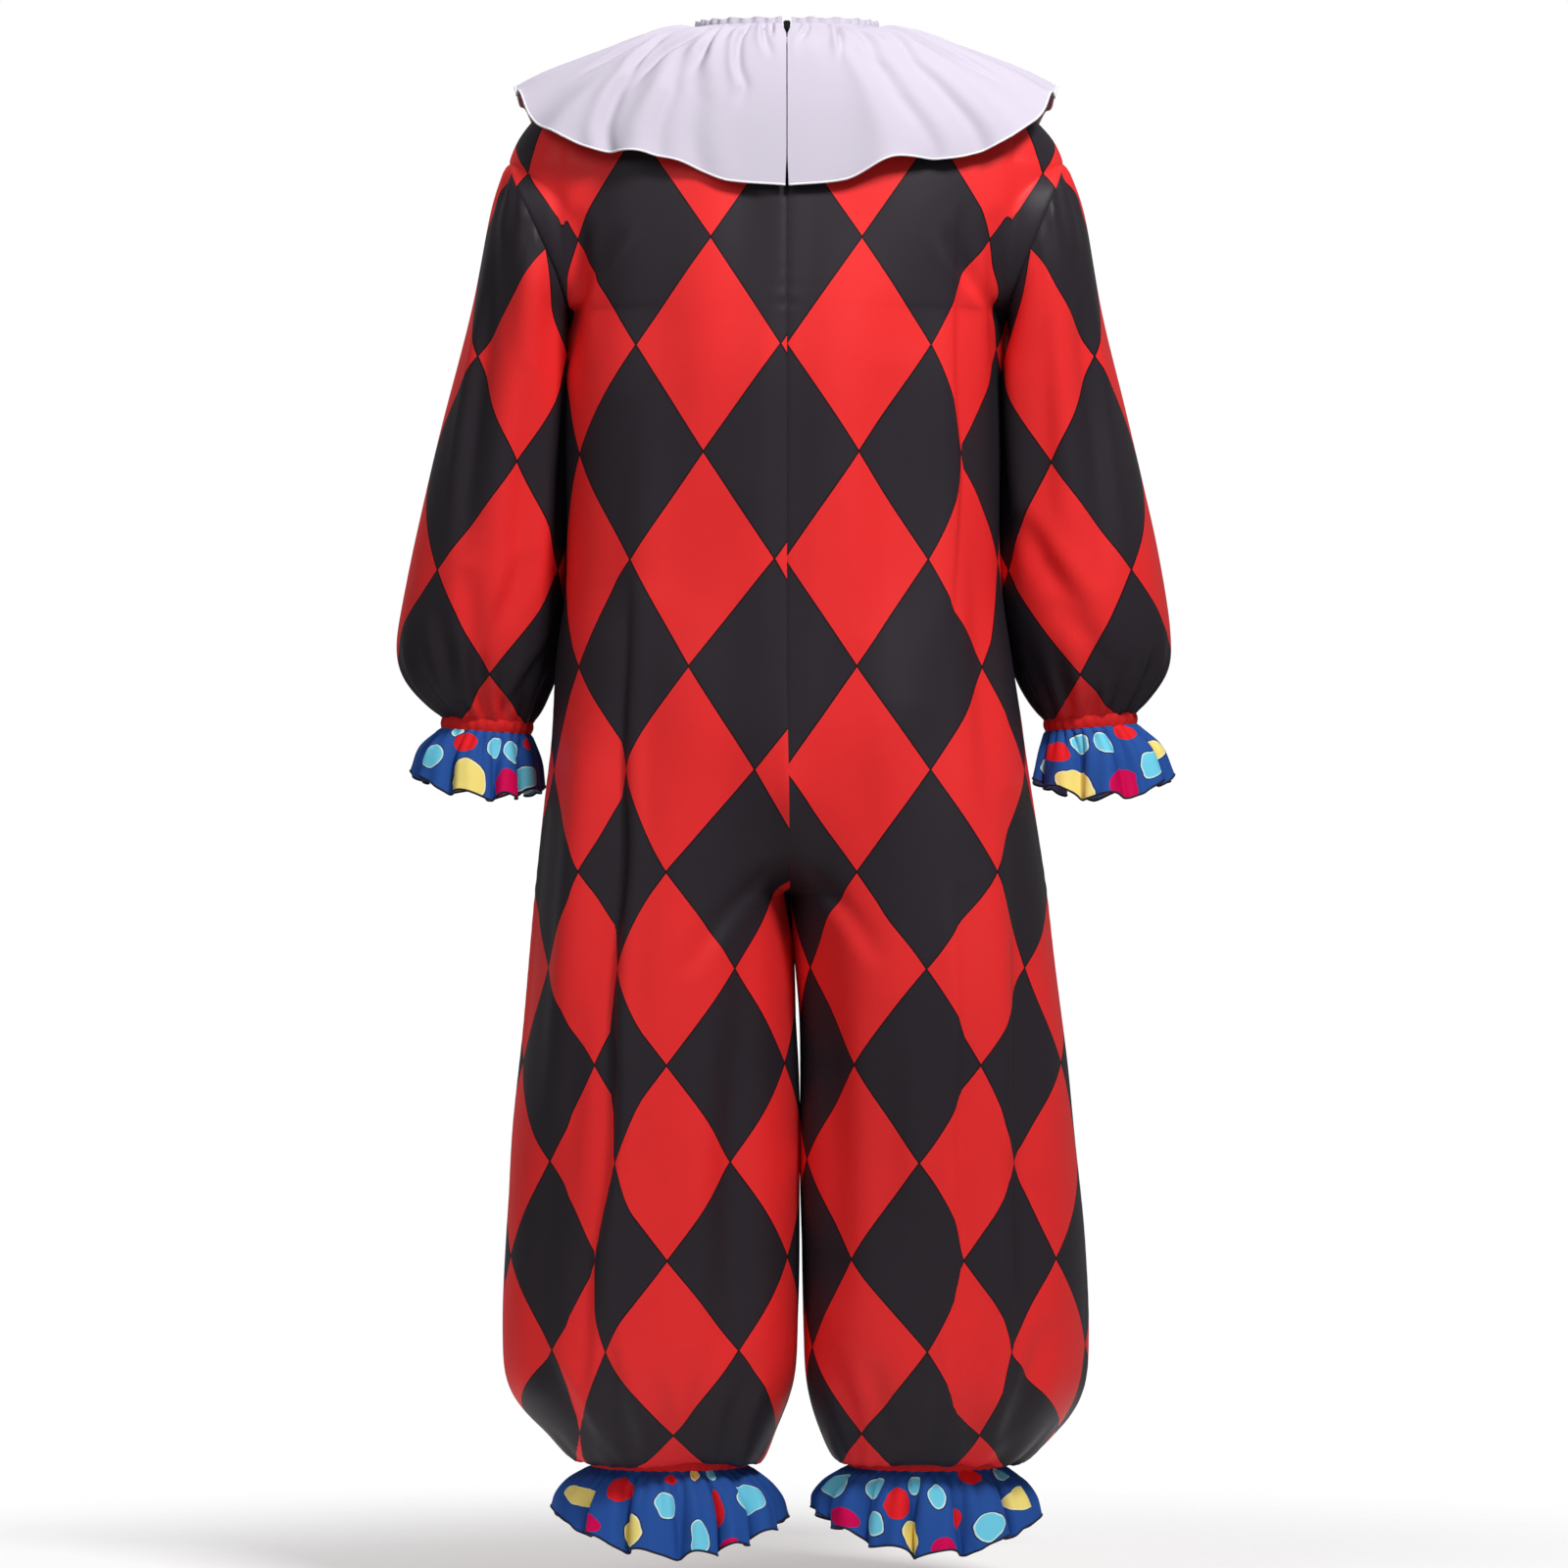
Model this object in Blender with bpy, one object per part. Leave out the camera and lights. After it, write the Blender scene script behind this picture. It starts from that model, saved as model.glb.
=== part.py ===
"""Clown jumpsuit, hollow and filled out as when it is worn.

Metres, +Z up. The garment's front faces -Y, its back faces +Y and the wearer's left is +X.
The origin is where the wearer's shoulders hold it, level with the base of the neck.
Tables are in millimetres. Every cloth piece is a wall whose outer skin is a loft through a
table's sections, and whose inner skin is that skin moved in by the cloth's thickness.
"""

import math
from collections import namedtuple

import bmesh
import bpy
import numpy as np

MM = 0.001

# Cloth and construction
CLOTH = 1.5 * MM
SEAM_GAP = 0.3 * MM
TAPE = 1.0 * MM
COLLECTION = "Clown jumpsuit"
HELPERS = "Helpers"

# Mesh density: columns round each piece
BODY_COLUMNS = 14
SLEEVE_COLUMNS = 24
WRIST_COLUMNS = 32
ANKLE_COLUMNS = 44
CHANNEL_COLUMNS = 20
COLLAR_COLUMNS = 76
NECK_COLUMNS = 36

# Body sections from the neck to the ankle. seam is the x of the centre seams, out_* and in_*
# are the outer and inner sides of each half (in_* only below the crotch), back and front are
# the depths, and drop is how far the front of the section hangs below its height.
BodyRow = namedtuple(
    "BodyRow", "height seam out_left out_right in_left in_right back front drop"
)
BODY = (
    BodyRow(26, 0, 88, 88, 0, 0, 66, 80, 34),
    BodyRow(8, 0, 128, 127, 0, 0, 80, 98, 22),
    BodyRow(-22, 0, 185, 184, 0, 0, 94, 114, 12),
    BodyRow(-55, 0, 233, 231, 0, 0, 104, 124, 6),
    BodyRow(-101.5, 0, 265, 263.5, 0, 0, 112, 132, 0),
    BodyRow(-244.4, 0, 209.6, 211, 0, 0, 128, 146, 0),
    BodyRow(-310, 0, 209.6, 203, 0, 0, 131, 151, 0),
    BodyRow(-400, 0, 209.6, 201.5, 0, 0, 130, 156, 0),
    BodyRow(-490, 0, 210, 203.5, 0, 0, 131, 159, 0),
    BodyRow(-578, 0, 220.9, 214.5, 0, 0, 136, 158, 0),
    BodyRow(-650, -1, 224.5, 225.5, 0, 0, 142, 155, 0),
    BodyRow(-700, -2, 230.5, 233.3, 0, 0, 146, 151, 0),
    BodyRow(-800, -3, 241.2, 248.6, -3, -3, 149, 142, 0),
    BodyRow(-853.5, -6.6, 246, 254.5, -6.1, -7.1, 147, 138, 0),
    BodyRow(-930, -10, 252.5, 263.8, -7.2, -13.2, 144, 136, 0),
    BodyRow(-1037, -11, 263.2, 275.3, -8.4, -14.4, 141, 137, 0),
    BodyRow(-1133, -12, 267, 285.2, -9.0, -15.4, 139, 139, 0),
    BodyRow(-1210, -12, 270.2, 289.0, -9.4, -16.6, 138, 140, 0),
    BodyRow(-1256, -12, 269.8, 288.4, -8.2, -18.4, 135, 138, 0),
    BodyRow(-1290, -12, 257, 279.4, 0.5, -24.8, 126, 129, 0),
    BodyRow(-1317, -12, 226.5, 256.5, 13.5, -34.5, 109, 112, 0),
    BodyRow(-1334, -12, 212, 234, 22, -43, 97, 99, 0),
    BodyRow(-1343, -12, 200.5, 217, 30, -50, 86, 87, 0),
    BodyRow(-1338.6, -12, 185.7, 206.7, 39.3, -60.3, 73.2, 73.2, 0),
)
ARMHOLE_TOP = 4
ARMHOLE_BOTTOM = 5
FORK_TOP = 11
CROTCH = 12
GATHER_TOP = 19
GATHER_SWELL = 3
LAST = len(BODY) - 1
ARMHOLE_STEPS = 6
ARMHOLE_HALF_DEPTH = 75 * MM
CREASE_SPOT = 12 / 14
CREASE_DEPTH = 1.06
CREASE_BULGE = 8 * MM
FORK_STEPS = (0.5, 0.78, 0.95)
HIP_TOP = 9
HIP_BOTTOM = 15
SQUARENESS_TORSO = 2.35
SQUARENESS_LEG = 2.15
NOTCH_HALF_WIDTH = 4.5 * MM

# Long soft folds: a trough that runs down a body panel, from one point to another.
Fold = namedtuple("Fold", "face x_top z_top x_bottom z_bottom width depth")
BODY_FOLDS = (
    Fold(1, 148, -430, 172, -1230, 24, 17),
    Fold(1, -150, -200, -160, -470, 26, 10),
    Fold(1, -228, -700, -246, -1060, 20, 10),
    Fold(1, 205, -700, 224, -1010, 19, 8),
    Fold(1, -92, -900, -124, -1240, 24, 9),
    Fold(-1, 136, -470, 156, -1220, 25, 15),
    Fold(-1, -128, -300, -152, -1150, 26, 13),
    Fold(-1, 200, -640, 226, -1040, 20, 9),
    Fold(-1, -206, -660, -232, -1060, 20, 9),
)
LEG_GATHERS = 8
LEG_GATHER_DEPTH = 3.5 * MM

# A section of a sleeve, channel or ruffle: its outer and inner side points, its half depth,
# how far back (+) or forward (-) its centre lies, and how far its front and back hang below.
Ring = namedtuple("Ring", "outer_x outer_z inner_x inner_z depth lean sag")
SLEEVE = {
    1: (
        Ring(279, -134, 213.5, -268, 80, -4, 0),
        Ring(300, -236, 209.8, -330, 84, -22, 0),
        Ring(331, -354, 208.2, -415, 87, -38, 0),
        Ring(347, -420, 208.0, -470, 88, -44, 0),
        Ring(365, -500, 212, -530, 85, -46, 0),
        Ring(376, -562, 219.5, -574, 78, -47, 0),
        Ring(372, -587, 226, -594, 70, -48, 0),
        Ring(358, -606, 234, -610, 60, -48, 0),
        Ring(344, -619, 239.5, -624, 50, -49, 0),
        Ring(331, -631, 246, -637, 42, -50, 0),
    ),
    -1: (
        Ring(281, -137, 214, -268, 80, -4, 0),
        Ring(301, -243, 203.2, -330, 84, -22, 0),
        Ring(323, -331, 200.5, -400, 87, -38, 0),
        Ring(343, -414, 201.2, -465, 88, -44, 0),
        Ring(357, -475, 205.5, -520, 86, -46, 0),
        Ring(369.4, -552, 213, -568, 79, -47, 0),
        Ring(369.4, -578, 221, -592, 71, -48, 0),
        Ring(360, -597, 231, -609, 61, -48, 0),
        Ring(348, -612, 240, -622, 51, -49, 0),
        Ring(335.6, -627, 249, -634, 42, -50, 0),
    ),
}
SLEEVE_GATHERS = 6
SLEEVE_GATHER_DEPTH = 3 * MM
SLEEVE_GATHER_TOP = 4
SLEEVE_PHASE = 0.4
SECOND_WAVE_SHARE = 0.35
SECOND_WAVES_FEWER = 3
WAVE_LIFT = 0.25
WRIST_CHANNEL = {
    1: (
        Ring(331.1, -631.4, 246.1, -637.4, 42, -50, 0),
        Ring(332.4, -640.2, 247.4, -646.2, 42, -50, 0),
    ),
    -1: (
        Ring(335.7, -627.4, 249.1, -634.4, 42, -50, 0),
        Ring(336.6, -636.2, 250, -643.2, 42, -50, 0),
    ),
}
WRIST_RUFFLE = {
    1: (
        Ring(332.5, -640.6, 247.5, -646.6, 42, -50, 0),
        Ring(346, -662, 240, -674, 52, -50, 6),
        Ring(359, -685, 236, -700, 62, -50, 13),
    ),
    -1: (
        Ring(336.7, -636.6, 250.1, -643.6, 42, -50, 0),
        Ring(352, -660, 246, -666, 52, -50, 7),
        Ring(367, -682, 242, -690, 62, -50, 16),
    ),
}
WRIST_WAVES = 8
WRIST_WAVE_DEPTH = 6.5 * MM
ANKLE_CHANNEL = {
    1: (Ring(186.5, -1339.8, 38.5, -1339.8, 74, 0, 0), Ring(186.5, -1348, 38.5, -1348, 74, 0, 0)),
    -1: (Ring(207.5, -1339.8, 59.5, -1339.8, 74, 0, 0), Ring(207.5, -1348, 59.5, -1348, 74, 0, 0)),
}
ANKLE_RUFFLE = {
    1: (
        Ring(186.6, -1348.4, 38.4, -1348.4, 74.6, 0, 0),
        Ring(201, -1366, 22, -1368, 86, 0, 8),
        Ring(213, -1382, 9, -1386, 96, 0, 20),
        Ring(219, -1394, 3, -1401, 103, 0, 29),
    ),
    -1: (
        Ring(207.6, -1348.4, 59.4, -1348.4, 74.6, 0, 0),
        Ring(220, -1366, 46, -1366, 86, 0, 8),
        Ring(231, -1384, 35, -1382, 96, 0, 20),
        Ring(238, -1399, 31, -1394, 103, 0, 29),
    ),
}
ANKLE_WAVES = 11
ANKLE_WAVE_DEPTH = 8 * MM
RUFFLE_SWELL = 1.2
RUFFLE_PHASE = 0.7

# Collar: reach is the height of the body point under the hem, and stand how far the hem is
# off the body, at each angle from the centre back round to the centre front.
CollarRow = namedtuple("CollarRow", "angle reach stand")
COLLAR = (
    CollarRow(0, -131, 9),
    CollarRow(12, -127, 9),
    CollarRow(22, -110, 12),
    CollarRow(32, -106, 12),
    CollarRow(47, -94, 14),
    CollarRow(60, -77, 18),
    CollarRow(75, -66, 23),
    CollarRow(90, -61, 26),
    CollarRow(105, -66, 23),
    CollarRow(120, -78, 19),
    CollarRow(135, -96, 15),
    CollarRow(150, -110, 12),
    CollarRow(165, -122, 10),
    CollarRow(180, -126, 9),
)
# Flutes of the collar: angle from the centre back, + to the wearer's left, half width, height.
Flute = namedtuple("Flute", "angle width height")
FLUTES = (
    Flute(30, 8, 12),
    Flute(48, 8, 13),
    Flute(70, 9, 14),
    Flute(92, 9, 12),
    Flute(115, 9, 12),
    Flute(138, 9, 13),
    Flute(161, 9, 12),
    Flute(-21, 7, 10),
    Flute(-50, 9, 13),
    Flute(-69, 8, 14),
    Flute(-92, 9, 12),
    Flute(-117, 9, 12),
    Flute(-141, 9, 13),
    Flute(-163, 9, 12),
)
COLLAR_ROWS = (0.006, 0.1, 0.3, 0.55, 0.8, 1)
COLLAR_PUFF = 11 * MM
PUFF_LENGTH = 0.2
SETTLE_START = 0.1
FLUTE_SWELL = 1.3
FLUTE_LIFT = 0.5
COLLAR_SPLIT = 0.5 * MM
NECK_BAND_HEIGHT = 8 * MM
NECK_BAND_LEAN = 0.12
JUST_RIGHT_OF_CENTRE = -1e-6

# Zip
ZIP_LAST = 8
TAPE_NEAR = 0.5 * MM
TAPE_FAR = 13 * MM
HINGE_DOWN = 4 * MM
HINGE_OUT = 1.3 * MM
SLIDER_OUTLINE = (
    (1.9 * MM, -10 * MM),
    (3.4 * MM, -8.4 * MM),
    (3.1 * MM, -3.4 * MM),
    (1.6 * MM, 9 * MM),
)
SLIDER_BACK = -2.8 * MM
SLIDER_FACE = -0.7 * MM
BRIDGE_HALF_LENGTH = 3.1 * MM
BRIDGE_HALF_WIDTH = 0.7 * MM
BRIDGE_WIRE = 1.0 * MM
BRIDGE_TOP = 1.5 * MM
BRIDGE_BAR = 0.8 * MM
BRIDGE_SUNK = 0.3 * MM
TAB_HALF_WIDTH = 2.2 * MM
TAB_TOP = -0.4 * MM
TAB_BOTTOM = 11 * MM
TAB_THICKNESS = 0.8 * MM
WINDOW_HALF_WIDTH = 1.0 * MM
WINDOW_TOP = 0.4 * MM
WINDOW_BOTTOM = 4.2 * MM

LEFT_RIGHT = ((1, "left"), (-1, "right"))


def clear_scene():
    for old in list(bpy.data.objects):
        bpy.data.objects.remove(old, do_unlink=True)
    for old in list(bpy.data.collections):
        bpy.data.collections.remove(old)


def new_collection(name):
    made = bpy.data.collections.new(name)
    bpy.context.scene.collection.children.link(made)
    return made


def material(name, colour, roughness, metallic=0.0):
    made = bpy.data.materials.new(name)
    made.use_nodes = True
    shader = made.node_tree.nodes["Principled BSDF"]
    shader.inputs["Base Color"].default_value = (*colour, 1)
    shader.inputs["Roughness"].default_value = roughness
    shader.inputs["Metallic"].default_value = metallic
    made.diffuse_color = (*colour, 1)
    return made


def add_object(name, data, finish, collection):
    obj = bpy.data.objects.new(name, data)
    obj.data.materials.append(finish)
    collection.objects.link(obj)
    return obj


# Walls


def unit(vectors):
    return vectors / np.maximum(np.linalg.norm(vectors, axis=-1, keepdims=True), 1e-12)


def grid_normals(points, closed, outward):
    """Unit normals of a grid of points, rows down and columns round. outward is +1 or -1."""
    if closed:
        round_ = np.roll(points, -1, axis=1) - np.roll(points, 1, axis=1)
    else:
        round_ = np.gradient(points, axis=1)
    down = np.gradient(points, axis=0)
    return outward * unit(np.cross(round_, down))


def flatten(normals, plane):
    """Normals turned into a seam's plane, so that the rims of the two pieces run parallel."""
    plane = np.asarray(plane, float)
    flat = normals - (normals @ plane)[..., None] * plane
    long_enough = np.linalg.norm(flat, axis=-1, keepdims=True) > 0.5
    return np.where(long_enough, unit(flat), normals)


def skin_faces(mesh, skin, closed):
    rows = len(skin)
    columns = len(skin[0])
    steps = columns if closed else columns - 1
    for i in range(rows - 1):
        for j in range(steps):
            k = (j + 1) % columns
            mesh.faces.new((skin[i][j], skin[i][k], skin[i + 1][k], skin[i + 1][j]))


def rim_faces(mesh, outer, inner, closed):
    for a, b in zip(outer, inner):
        pairs = list(zip(a, a[1:] + a[:1], b, b[1:] + b[:1]))
        for p, q, r, s in pairs if closed else pairs[:-1]:
            mesh.faces.new((p, r, s, q))


def wall(name, outer, inner, finish, collection, closed=False):
    """A closed wall between two grids of points. A closed grid goes all the way round."""
    mesh = bmesh.new()
    skins = [[[mesh.verts.new(p) for p in row] for row in grid] for grid in (outer, inner)]
    for skin in skins:
        skin_faces(mesh, skin, closed)
    first, second = skins
    ends = ([first[0], first[-1]], [second[0], second[-1]])
    rim_faces(mesh, *ends, closed)
    if not closed:
        sides = [[[row[k] for row in skin] for k in (0, -1)] for skin in skins]
        rim_faces(mesh, *sides, False)
    bmesh.ops.recalc_face_normals(mesh, faces=mesh.faces)
    data = bpy.data.meshes.new(name)
    mesh.to_mesh(data)
    mesh.free()
    data.shade_smooth()
    return add_object(name, data, finish, collection)


# Body


def body_row(t):
    """The body's section at row t of the table, which may lie between two rows, in metres."""
    low = min(int(t), LAST - 1)
    share = t - low
    mixed = [a + (b - a) * share for a, b in zip(BODY[low], BODY[low + 1])]
    return BodyRow(*[value * MM for value in mixed])


def body_stations():
    """The rows of every body panel, denser round the armhole and the crotch curve."""
    armhole = [
        ARMHOLE_TOP + (1 - math.cos(math.pi * k / ARMHOLE_STEPS)) / 2
        for k in range(1, ARMHOLE_STEPS)
    ]
    fork = [FORK_TOP + share for share in FORK_STEPS]
    return sorted([*range(LAST + 1), *armhole, *fork])


def armhole_half_depth(t):
    """How far the panel's edge stands off the side seam's plane: only round the armhole."""
    share = 2 * (t - ARMHOLE_TOP) / (ARMHOLE_BOTTOM - ARMHOLE_TOP) - 1
    return ARMHOLE_HALF_DEPTH * math.sqrt(max(0.0, 1 - share * share))


def armhole_outward(side):
    """The direction out of the armhole's plane, towards the sleeve."""
    top = body_point(side, 1, ARMHOLE_TOP, 1.0)
    bottom = body_point(side, 1, ARMHOLE_BOTTOM, 1.0)
    return unit(np.array((side * (top[2] - bottom[2]), 0, -abs(top[0] - bottom[0]))))


def leg_share(t, u):
    """0 on the torso and 1 on the legs: a quarter round at the centre seam, slower beside it."""
    fork = min(max((t - FORK_TOP) / (CROTCH - FORK_TOP), 0.0), 1.0)
    seam = 1 - math.sqrt(1 - fork * fork)
    hip = min(max((t - HIP_TOP) / (HIP_BOTTOM - HIP_TOP), 0.0), 1.0)
    slow = hip * hip * (3 - 2 * hip)
    near = max(0.0, 1 - u / 0.45) ** 2
    return slow + (seam - slow) * near


def rounded(angle, squareness):
    """Sine and cosine on a superellipse."""
    s = math.sin(angle)
    c = math.cos(angle)
    reach = (abs(s) ** squareness + abs(c) ** squareness) ** (-1 / squareness)
    return s * reach, c * reach


def torso_point(side, t, u, start, out, depth):
    """x and y of the torso's section. Beside an armhole it creases, then turns out to the edge."""
    edge = armhole_half_depth(t)
    if not edge:
        s, c = rounded(math.pi / 2 * u, SQUARENESS_TORSO)
        return np.array((start + (out - start) * s, depth * c))
    width = out + side * CREASE_BULGE * edge / ARMHOLE_HALF_DEPTH
    down = CREASE_DEPTH * edge / depth
    across = (1 - down**SQUARENESS_TORSO) ** (1 / SQUARENESS_TORSO)
    crease = math.atan2(across, down)
    s, c = rounded(crease * min(u / CREASE_SPOT, 1.0), SQUARENESS_TORSO)
    point = np.array((start + (width - start) * s, depth * c))
    turn = max(u - CREASE_SPOT, 0.0) / (1 - CREASE_SPOT)
    return point + (np.array((out, edge)) - point) * turn


def body_point(side, face, t, u):
    """A point of the body's outer form: u runs from the centre seam to the side seam."""
    row = body_row(t)
    depth = row.back if face > 0 else row.front
    out = row.out_left if side > 0 else -row.out_right
    start = row.seam + side * SEAM_GAP / 2
    if face > 0 and t < 1:
        start += side * NOTCH_HALF_WIDTH * (1 - t)
    torso = torso_point(side, t, u, start, out, depth)
    inner = start
    if t > CROTCH:
        inner = row.in_left if side > 0 else row.in_right
    s, c = rounded(math.radians(180 * u - 90), SQUARENESS_LEG)
    leg = np.array(((inner + out) / 2 + (out - inner) / 2 * s, depth * c))
    x, y = torso + (leg - torso) * leg_share(t, u)
    y = max(y, SEAM_GAP / 2)
    drop = row.drop * (y / depth) ** 2 if face < 0 else 0.0
    return np.array((x, face * y, row.height - drop))


def body_normal(side, face, t, u):
    """The outward direction at a point of the body's outer form."""
    step = 0.01
    t = min(t, ARMHOLE_BOTTOM - step)
    u = min(max(u, step), 1 - step)
    round_ = body_point(side, face, t, u + step) - body_point(side, face, t, u - step)
    down = body_point(side, face, t + step, u) - body_point(side, face, max(t - step, 0), u)
    return side * face * unit(np.cross(round_, down))


def fold_depth(fold, face, x, z):
    """How deep a fold is at a point, fading out at its two ends."""
    if fold.face != face:
        return 0.0
    along = (z - fold.z_top * MM) / ((fold.z_bottom - fold.z_top) * MM)
    if not 0 < along < 1:
        return 0.0
    centre = (fold.x_top + (fold.x_bottom - fold.x_top) * along) * MM
    across = (x - centre) / (fold.width * MM)
    return fold.depth * MM * math.exp(-across * across) * math.sin(math.pi * along) ** 0.6


def gather_height(t, u):
    """Ripples above the ankle, where the leg is gathered. They are flat at the seams."""
    swell = min(max((t - GATHER_TOP + 1) / GATHER_SWELL, 0.0), 1.0)
    fade = 1 - (t - GATHER_TOP) / (LAST - GATHER_TOP)
    return LEG_GATHER_DEPTH * max(swell * fade, 0.0) * math.sin(math.pi * LEG_GATHERS * u)


def body_grid(side, face):
    """(outer skin, inner skin) of a body panel."""
    stations = body_stations()
    spots = np.linspace(0, 1, BODY_COLUMNS + 1)
    outer = np.array([[body_point(side, face, t, u) for u in spots] for t in stations])
    normals = grid_normals(outer, False, side * face)
    for i, t in enumerate(stations):
        for j, u in enumerate(spots[1:-1], 1):
            x, _, z = outer[i, j]
            inward = sum(fold_depth(fold, face, x, z) for fold in BODY_FOLDS)
            outer[i, j] += normals[i, j] * (gather_height(t, u) - inward)
    normals = grid_normals(outer, False, side * face)
    for i, t in enumerate(stations):
        if t < CROTCH:
            normals[i, 0] = flatten(normals[i, 0], (1, 0, 0))
        elif t == CROTCH:
            normals[i, 0] = (0, 0, -1)
        else:
            normals[i, 0] = flatten(normals[i, 0], (0, 1, 0))
        if not ARMHOLE_TOP < t < ARMHOLE_BOTTOM:
            normals[i, -1] = flatten(normals[i, -1], (0, 1, 0))
        if ARMHOLE_TOP <= t < ARMHOLE_BOTTOM:
            normals[i, -1] = flatten(normals[i, -1], armhole_outward(side))
    return outer, outer - CLOTH * normals


def build_body(finish, collection):
    """The four body panels. Returns the back panels' skins, which the zip tapes lie on."""
    backs = {}
    for side, word in LEFT_RIGHT:
        backs[side] = body_grid(side, 1)
        wall(f"back_{word}", *backs[side], finish, collection)
        wall(f"front_{word}", *body_grid(side, -1), finish, collection)
    return backs


# Sleeves, channels and ruffles


def ring_points(side, ring, columns, wave=0.0, waves=0, phase=0.0):
    """Points round a ring, from its outer side by the back. Its waves swell along the ring."""
    outer = np.array((side * ring.outer_x, 0, ring.outer_z)) * MM
    inner = np.array((side * ring.inner_x, 0, ring.inner_z)) * MM
    middle = (outer + inner) / 2
    across = (outer - inner) / 2
    points = []
    for k in range(columns):
        angle = 2 * math.pi * k / columns
        point = middle + across * math.cos(angle)
        point = point + np.array((0, ring.depth * math.sin(angle) + ring.lean, 0)) * MM
        point[2] -= ring.sag * MM * math.sin(angle) ** 2
        radial = unit(across) * math.cos(angle) + np.array((0, math.sin(angle), 0))
        second = math.sin((waves - SECOND_WAVES_FEWER) * angle + 2 * phase)
        ripple = wave * (math.sin(waves * angle + phase) + SECOND_WAVE_SHARE * second)
        points.append(point + radial * ripple + np.array((0, 0, WAVE_LIFT * ripple)))
    return points


def tube_skins(rings, side):
    """(outer skin, inner skin) of a tube of rings. Its rims lie flat in the end rings' planes."""
    outer = np.array(rings)
    normals = grid_normals(outer, True, -side)
    for k in (0, -1):
        ring = outer[k]
        middle = ring.mean(axis=0)
        plane = unit(np.cross(ring[0] - middle, ring[len(ring) // 4] - middle))
        normals[k] = flatten(normals[k], plane)
    return outer, outer - CLOTH * normals


def armhole_ring(side):
    """The armhole, point for point with the body panels' edges, and a seam gap outside it."""
    stations = [t for t in body_stations() if ARMHOLE_TOP <= t <= ARMHOLE_BOTTOM]
    back = [body_point(side, 1, t, 1.0) for t in stations]
    front = [body_point(side, -1, t, 1.0) for t in stations[-2:0:-1]]
    corners = back + front
    outward = armhole_outward(side)
    points = []
    for a, b in zip(corners, corners[1:] + corners[:1]):
        points += [a + outward * SEAM_GAP, (a + b) / 2 + outward * SEAM_GAP]
    return points


def build_sleeves(finish, collection):
    for side, word in LEFT_RIGHT:
        rings = [armhole_ring(side)]
        last = len(SLEEVE[side]) - 1
        for k, ring in enumerate(SLEEVE[side]):
            share = max((k - SLEEVE_GATHER_TOP) / (last - SLEEVE_GATHER_TOP), 0)
            wave = SLEEVE_GATHER_DEPTH * math.sin(math.pi * share)
            rings.append(ring_points(side, ring, SLEEVE_COLUMNS, wave, SLEEVE_GATHERS, SLEEVE_PHASE))
        skins = tube_skins(rings, side)
        wall(f"sleeve_{word}", *skins, finish, collection, closed=True)


def build_channels(finish, collection):
    """The narrow elastic channels that draw in the wrists and the ankles."""
    for place, table in (("wrist", WRIST_CHANNEL), ("ankle", ANKLE_CHANNEL)):
        for side, word in LEFT_RIGHT:
            rings = [ring_points(side, ring, CHANNEL_COLUMNS) for ring in table[side]]
            skins = tube_skins(rings, side)
            wall(f"{place}_channel_{word}", *skins, finish, collection, closed=True)


def build_ruffles(finish, collection):
    """The dotted ruffles, smooth where they are sewn on and fullest at their hems."""
    kinds = (
        ("wrist", WRIST_RUFFLE, WRIST_COLUMNS, WRIST_WAVES, WRIST_WAVE_DEPTH),
        ("ankle", ANKLE_RUFFLE, ANKLE_COLUMNS, ANKLE_WAVES, ANKLE_WAVE_DEPTH),
    )
    for place, table, columns, waves, depth in kinds:
        for side, word in LEFT_RIGHT:
            last = len(table[side]) - 1
            rings = [
                ring_points(
                    side, ring, columns, depth * (k / last) ** RUFFLE_SWELL, waves, RUFFLE_PHASE + side
                )
                for k, ring in enumerate(table[side])
            ]
            skins = tube_skins(rings, side)
            wall(f"{place}_ruffle_{word}", *skins, finish, collection, closed=True)


# Collar and neck band


def around(angle):
    """(side, face, u) of the body at an angle from the centre back, in degrees, -180 to 180."""
    side = 1 if angle >= 0 else -1
    face = 1 if abs(angle) <= 90 else -1
    share = abs(angle) / 90
    return side, face, min(share if face > 0 else 2 - share, 1.0)


def station_at(height):
    """The body table's row, counted with a fraction, at a height above the armhole's bottom."""
    heights = [row.height for row in BODY[: ARMHOLE_BOTTOM + 1]]
    return float(np.interp(-height, [-h for h in heights], range(len(heights))))


def flute_height(angle):
    near = (math.exp(-(((angle - f.angle) / f.width) ** 2)) * f.height for f in FLUTES)
    return sum(near) * MM


def collar_point(angle, v):
    """(point of the collar's upper skin, outward direction). v runs from the neck to the hem."""
    side, face, u = around(angle)
    angles = [row.angle for row in COLLAR]
    reach = np.interp(abs(angle), angles, [row.reach for row in COLLAR])
    hem_stand = np.interp(abs(angle), angles, [row.stand for row in COLLAR]) * MM
    flute = flute_height(angle)
    reach += FLUTE_LIFT * flute / MM
    t = station_at(BODY[0].height + (reach - BODY[0].height) * v)
    puff = COLLAR_PUFF * math.sin(math.pi * min(v / PUFF_LENGTH, 1) / 2)
    settle = min(max((v - SETTLE_START) / (1 - SETTLE_START), 0.0), 1.0)
    stand = SEAM_GAP + puff * (1 - settle) + hem_stand * settle + flute * settle**FLUTE_SWELL
    normal = body_normal(side, face, t, u)
    return body_point(side, face, t, u) + normal * (CLOTH + stand), normal


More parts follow.
